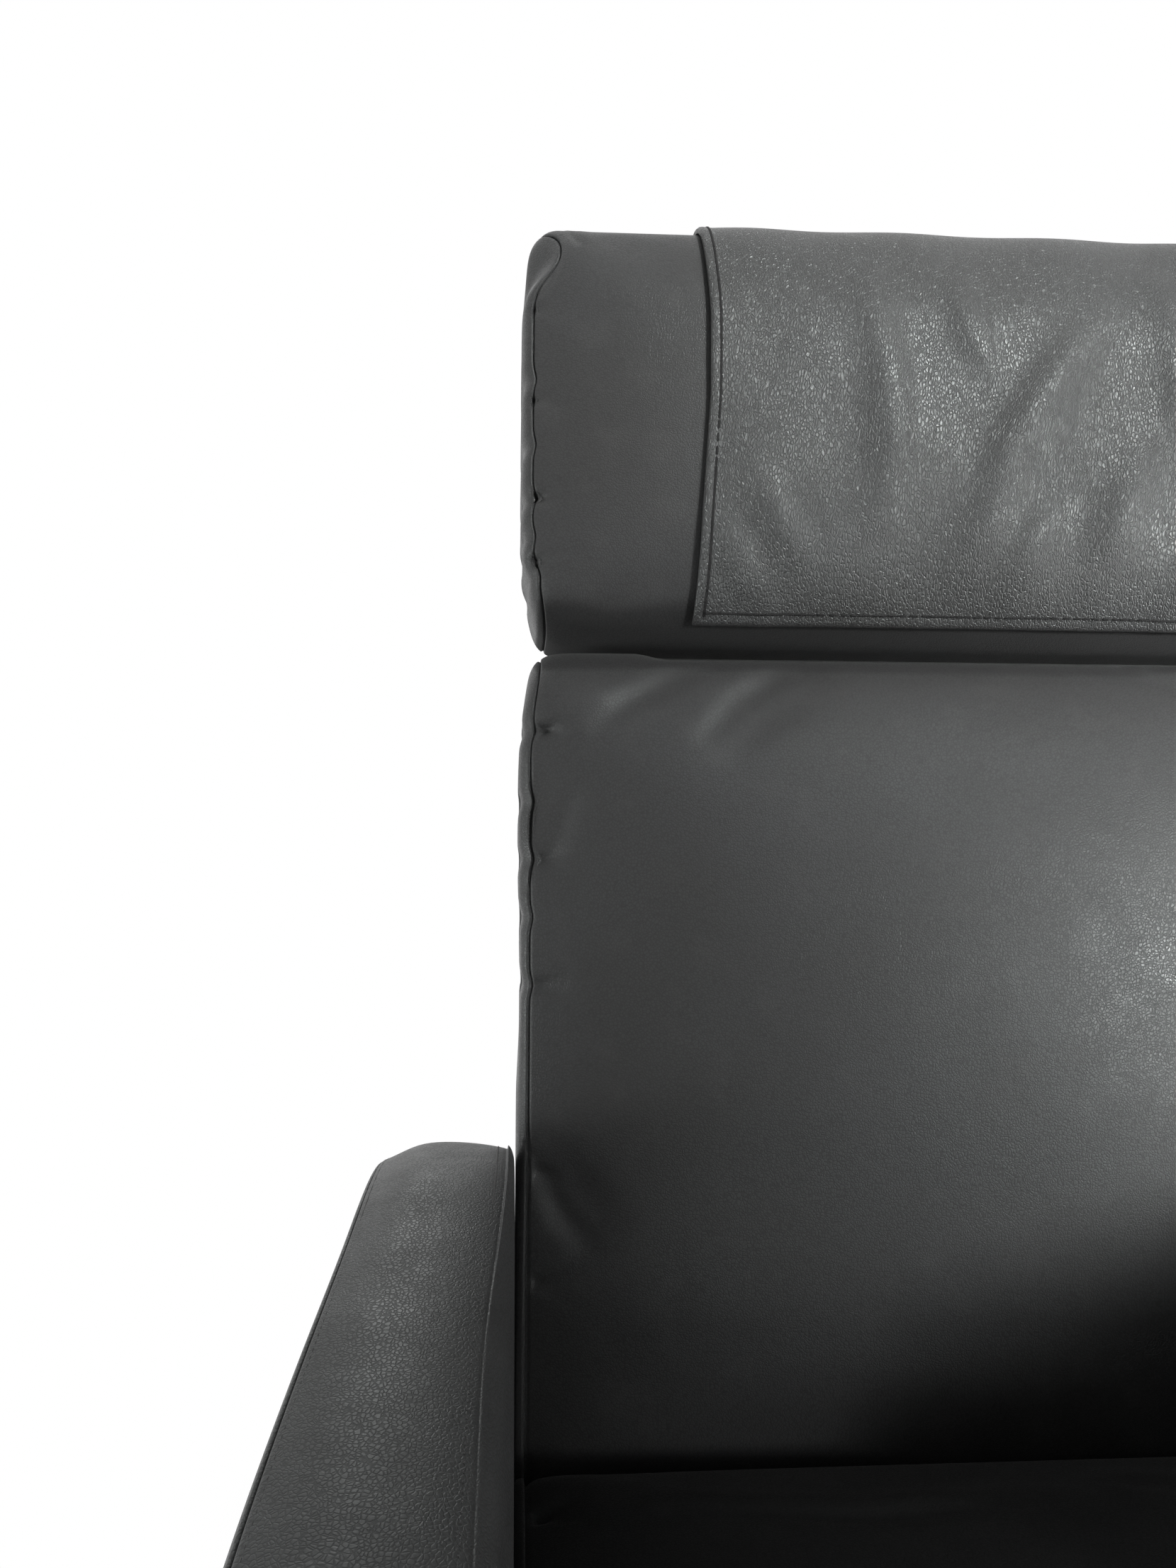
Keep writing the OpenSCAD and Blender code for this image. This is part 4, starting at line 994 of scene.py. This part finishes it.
SEAT_PUCKERS = [(y, 0.002) for y in (-0.43, -0.33, -0.24, -0.13, -0.06)]
SEAT_FOLDS = [
    [(-0.2, -0.07), (-0.1, -0.085), (0.02, -0.075)],
    [(0.05, -0.06), (0.14, -0.08), (0.22, -0.07)],
]
LEGREST_PUCKERS = [(z, 0.0016) for z in (0.28, 0.215, 0.15, 0.09)]


def make_seat():
    r, rear_r, top_r = 0.034, 0.02, 0.03
    deep, tall = (-SEAT_DEPTH, 0), (-SEAT_T, 0)
    corners = [(r - SEAT_DEPTH, r - SEAT_T, r), (-0.0404, rear_r - SEAT_T, rear_r)]
    corners += [(-0.033, -top_r, top_r), (r - SEAT_DEPTH, -r, r)]
    seam = CUSHION_X - SEAM_IN
    share = (0.5, 0.15, -0.14, -0.04)
    piece = boxed("seat_cushion_skin", deep, tall, corners, (0.014, 0.022), seam, 0.014, share, 0, 1)
    puff(piece, UP, 0.005, CUSHION_X)
    points = read(piece)
    limit = ARM_IN + 0.0002
    points[:, 0] = np.clip(points[:, 0] * FULLER, -limit, limit)
    write(piece, points)
    refine(piece, 0.0016)
    plane = read(piece)[:, :2]
    height = puckers(plane, 31, seam, SEAT_PUCKERS, 0.034, 0.015)
    for path in SEAT_FOLDS:
        height += fold(plane, path, 0.006, 0.0016, 0.0012)
    write(piece, embossed(piece, height, UP, 0.1, 0.6))
    settle(piece, ON_SEAT, "seat", "seat_cushion", SHADED_SEAT_LEATHER)


def make_legrest():
    deep, tall = (-0.4167, -0.3817), (0.055, 0.3382)
    corners = rect(deep, tall, (0.016, 0.008, 0.006, 0.029))
    seam = 0.255
    piece = boxed("legrest_pad_skin", deep, tall, corners, (0.01, 0.022), seam, 0.005)
    refine(piece, 0.0014)
    height = puckers(read(piece)[:, (0, 2)], 41, seam, LEGREST_PUCKERS, 0.03, 0.012)
    write(piece, embossed(piece, height, FRONT, 0.1, 0.6))
    settle(piece, UPRIGHT, "legrest", "legrest_pad", CHARCOAL)


ARM_Y = (-0.4, 0.25)
ARM_Z = (0.048, 0.606)
ARM_SEAMS = (0.299, 0.3695)
ARM_FACES = (0.2838, 0.3742)
# Rings past the seams as (x, inset), and the strip's columns as shares of its half width
ARM_INSIDE = [(0.2976, 0.0051), (0.2945, 0.0069), (0.29, 0.0108), (0.2863, 0.018), (0.2836, 0.0275)]
ARM_OUTSIDE = [(0.3706, 0.0053), (0.3721, 0.0074), (0.3734, 0.0115), (0.3742, 0.02)]
ARM_SHARES = (-1, -0.96, -0.86, -0.62, -0.25, 0.25, 0.62, 0.86, 0.96, 1)


def arm_outline(step):
    return outline(rect(ARM_Y, ARM_Z, (0.012, 0.012, 0.24, 0.09)), step)


def arm_taper(points, side):
    """Narrows the top of an arm to the rear, and brings its inner seam closer to the back."""
    x, y, z = side * points[:, 0], points[:, 1], points[:, 2]
    inner_seam = ARM_SEAMS[0]
    inner_face, outer_face = ARM_FACES
    reach = 0.0138 * smooth(y, -0.23, 0.06)
    outward = np.clip((x - inner_seam) / (outer_face - inner_seam), 0, 1)
    drawn = reach * outward * smooth(z, 0.445, 0.53)
    beside = np.interp(x, (inner_face, inner_seam, 0.33), (0, 1, 0))
    drawn += (0.003 + 0.008 * smooth(y, -0.12, 0.06)) * beside
    fall = 0.006 * smooth(x, 0.338, 0.366) * smooth(y, -0.1, 0.09) * smooth(z, 0.4, 0.5)
    return np.column_stack((side * (x - drawn), y, z - fall))


def cup_hole(piece):
    """Cuts the opening for the handle cup into the outer side of the arm."""
    y, z, half_y, half_z = -0.15, 0.4, 0.0523, 0.0303
    corners = rect((y - half_y, y + half_y), (z - half_z, z + half_z), [0.006] * 4)
    line, _ = outline(corners, 0.003)
    cut(piece, line, -0.39, -0.328)


def arm_seam(name, side, x, inset, length, pitch, material):
    """Stitches along an arm's seam, from its rear over the top to the front."""
    rows = np.column_stack(arm_outline(0.004))
    start = np.argmax(rows[:, 1] * (rows[:, 0] > 0.2) > 0.12)
    rows = np.roll(rows, -start, axis=0)
    rows = rows[rows[:, 1] > 0.1]
    line, normal = rows[:, :2], rows[:, 2:]
    place = np.column_stack((np.full(len(rows), side * x), line - normal * inset))
    facing = np.column_stack((np.zeros(len(rows)), normal))
    both = spaced(np.column_stack((arm_taper(place, side), facing)), pitch)
    row = strand(name, both[:, :3], both[:, 3:], length, 0.0004, material)
    attach(row, UPRIGHT, "base")


def make_arm(side):
    name = "left" if side > 0 else "right"
    line, normal = arm_outline(0.016)
    inner, outer = ARM_SEAMS
    middle, half = (inner + outer) / 2, (outer - inner) / 2
    square = 0.15 + 0.85 * smooth(line[:, 1], 0.06, 0.2)
    bevel = 1 - 0.55 * smooth(line[:, 0], -0.08, 0.05) * smooth(line[:, 1], 0.4, 0.5)
    strip = [(middle + half * t, 0.0045 * abs(t) ** 2.4 * square) for t in ARM_SHARES]
    left = [(x, inset * bevel * square) for x, inset in ARM_INSIDE]
    right = [(x, inset * square) for x, inset in ARM_OUTSIDE]
    if side < 0:
        strip.reverse()
        strip, left, right = [[(-x, inset) for x, inset in rings] for rings in (strip, right, left)]
    piece = sewn(f"arm_{name}_skin", line, normal, strip, left, right, np.array([-0.05, 0.3]))
    across = np.abs(read(piece)[:, 0])
    write_seams_and_shade(piece, read_seams_and_shade(piece) * np.where(across < middle, 0.6, 1))
    write(piece, arm_taper(read(piece), side))
    refine(piece, 0.0014)
    if side < 0:
        cup_hole(piece)
    settle(piece, UPRIGHT, "base", f"arm_{name}_pad", ARM_LEATHER)
    arm_seam(f"arm_{name}_inner_stitches", side, inner + 0.0042, 0.0034, 0.0014, 0.0042, PALE_THREAD)
    arm_seam(f"arm_{name}_outer_stitches", side, outer - 0.0035, 0.0038, 0.003, 0.0046, DARK_THREAD)


make_seat()
make_legrest()
make_arm(1)
make_arm(-1)


# Rear covers, pouch, straps and cable


def on_rear(line, y):
    return np.column_stack((line[:, 0], np.full(len(line), y), line[:, 1]))


def make_cover(node, body, x, low, high, rear, r, crown):
    """An upholstered rear cover: the pan with soft edges, a full face, piping and a stitched line."""
    piece = add_object(f"{node}_skin", frame["nodes"][node].data.copy())
    piece.data.transform(ON_BACK.inverted())
    remesh = piece.modifiers.new("even", "REMESH")
    remesh.mode = "VOXEL"
    remesh.voxel_size = 0.0042
    soft = piece.modifiers.new("soft", "SMOOTH")
    soft.iterations = 6
    bake(piece)
    shade_smooth(piece)
    points = read(piece)
    across = np.clip(np.abs(points[:, 0]) / (x - 0.01), 0, 1)
    upward = np.clip(np.abs(points[:, 2] - (low + high) / 2) / ((high - low) / 2 - 0.01), 0, 1)
    full = crown * (1 - across**3) * (1 - upward**3)
    points[:, 1] += full * smooth(points[:, 1], rear - 0.004, rear - 0.001)
    write(piece, points)
    settle(piece, ON_BACK, body, node, CHARCOAL)

    def inset_line(inset, step, y):
        corners = rect((inset - x, x - inset), (low + inset, high - inset), [r - inset] * 4)
        return on_rear(outline(corners, step)[0], y)

    cord_r = 0.0022
    piping = tube(f"{node}_piping", inset_line(cord_r, 0.006, rear - 0.0016), cord_r, 10, True)
    paint(piping, CHARCOAL)
    line = inset_line(0.01, 0.0066, rear - 0.0002)
    outward = np.full(line.shape, (0, 1, 0))
    sewing = strand(f"{node}_stitches", line, outward, 0.0044, 0.0005, DARK_THREAD)
    attach(piping, ON_BACK, body)
    attach(sewing, ON_BACK, body)


# The pouch's wall from its inner edge to its full face, as (inset, rise)
POUCH_WALL = [(0.004, 0), (0, 0.0018), (0, 0.0032), (0.002, 0.0044), (0.0058, 0.005), (0.0075, 0.0046)]
POUCH_WALL += [(0.01, 0.0055), (0.013, 0.0066), (0.017, 0.0074)]


def make_pouch():
    """The weight pouch on the flap's rear end: a sewn pocket with a full outer face."""
    x, half, r = 0.165, 0.028, 0.012
    middle = HEAD_Z[1] - 0.116
    inner = 0.1423
    base, normal = outline(rect((-x, x), (-half, half), [r] * 4), 0.005)
    rings = []
    for inset, rise in POUCH_WALL:
        drawn = min(inset, r - 0.001)
        flat = base - normal * drawn
        flat[:, 1] *= (half - inset) / (half - drawn)
        rings.append(on_rear(flat + (0, middle), inner + rise))
    last = rings[-1]
    for share in (0.7, 0.35):
        ring = last.copy()
        ring[:, 2] = middle + (last[:, 2] - middle) * share
        ring[:, 1] = inner + 0.0078 + 0.0004 * (1 - share)
        rings.append(ring)
    numbers = numbered(len(base), len(rings))
    points = np.concatenate(rings + [np.array([(0, inner, middle), (0, inner + 0.0082, middle)])])
    pole = len(points) - 2
    faces = bands(numbers, True) + fan(numbers[0], pole, False) + fan(numbers[-1], pole + 1, True)
    piece = skin("flap_weight_pouch", points, faces)
    settle(piece, ON_BACK, "head", "flap_weight", FLAP_LEATHER)


STRAP_ACROSS = np.linspace(0.002, 0.058, 9)
STRAP_RUN = np.linspace(-0.242, 0.242, 122)
STRAP_THICK = 0.0016


def make_straps(name, place, body, node, starts, axis, level):
    """Flat elastic straps side by side, from one rail to the other, at a level along an axis."""
    points, faces, done = [], [], 0
    wave = np.sin(np.pi * (STRAP_ACROSS - STRAP_ACROSS[0]) / np.ptp(STRAP_ACROSS))
    for start in starts:
        grid = np.zeros((len(STRAP_RUN), len(STRAP_ACROSS), 3))
        grid[..., 0] = STRAP_RUN[:, None]
        grid[..., 3 - axis] = start + STRAP_ACROSS[None]
        ripple = 0.00025 * np.sin(STRAP_RUN * 90 + start * 300)
        grid[..., axis] = level + ripple[:, None] * wave[None]
        more, quads = closed_sheet(grid, np.full(grid.shape[:2], STRAP_THICK))
        points.append(more)
        faces.append(quads + done)
        done += len(more)
    piece = skin(name, np.concatenate(points), np.concatenate(faces))
    settle(piece, place, body, node, WEBBING)


# The release cable's route from the handle to the gas spring, in millimetres
CABLE = [
    (-328, -150, 400), (-322, -150, 400), (-317, -151, 396), (-314, -153, 388), (-313, -157, 370),
    (-313, -167, 340), (-313, -179, 300), (-313, -191, 260), (-313, -201, 220), (-313, -209, 180),
    (-313, -213, 150), (-313, -215, 132), (-311, -216, 124), (-306, -216, 120), (-298, -216, 119),
    (-280, -216, 119), (-266, -218, 118), (-252, -223, 115), (-238, -229, 111), (-220, -236, 107),
    (-205, -239, 105), (-190, -240, 105), (-120, -240, 105), (-100, -240, 106), (-86, -240, 110),
    (-74, -240, 115), (-66, -240, 118), (-58, -240, 119),
]


def make_cable():
    piece = tube("release_cable_sleeve", eased(np.array(CABLE) / 1000, 4), 0.0025, 12)
    settle(piece, UPRIGHT, "base", "release_cable", FINISHES["cable_sleeve"])


make_cover("back_cover", "back", x=0.27, low=-0.044, high=0.461, rear=0.1393, r=0.03, crown=0.004)
make_cover("head_cover", "head", x=0.267, low=0.49, high=0.731, rear=0.1363, r=0.026, crown=0.0)
make_pouch()
make_straps("seat_straps", ON_SEAT, "seat", "seat_webbing", -0.301 + 0.06 * np.arange(4), 2, -0.112)
make_straps("back_straps", ON_BACK, "back", "back_webbing", 0.01 + 0.085 * np.arange(4), 1, 0.1073)
make_cable()


# Carried-over nodes and the stage


def dress_nodes():
    slots = {p["node"]: p["material_slot"] for p in frame["record"]["subparts"]}
    for node, thing in frame["nodes"].items():
        if slots[node] in FINISHES:
            paint(thing, FINISHES[slots[node]])


def make_world(ambient):
    world = bpy.data.worlds.new("studio")
    world.use_nodes = True
    scene.world = world
    nodes = Nodes(world.node_tree)
    soft = world.node_tree.nodes["Background"]
    soft.inputs["Color"].default_value = WHITE
    soft.inputs["Strength"].default_value = ambient
    white = nodes.add("Background", {"Color": WHITE, "Strength": 1})
    nodes.join(nodes.white_rays(), soft, white, "World Output")


def make_floor():
    """A pale floor that shows white away from the chair, and keeps its shadow below it."""
    half = 6
    corners = half * np.array([(-1, -1, 0), (1, -1, 0), (1, 1, 0), (-1, 1, 0)])
    floor = skin("floor", corners, [(0, 1, 2, 3)])
    f = Finish("floor")
    f.set(Base_Color=(0.86, 0.86, 0.86, 1), Roughness=0.9)
    parts = f.add("SeparateXYZ", {0: f.add("TexCoord", {}).outputs["Object"]}).outputs
    outside = f.math("MAXIMUM", f.math("ABSOLUTE", parts[0]), f.math("ABSOLUTE", parts[1]))
    share = f.math("MULTIPLY", f.white_rays(), f.span(outside, 0.28, 0.56, 0.3, 1.0, True))
    glow = f.add("Emission", {"Strength": 1})
    f.join(share, f.shader, glow, "Material Output")
    paint(floor, f.material)


dress_nodes()
make_world(0.08)
make_floor()
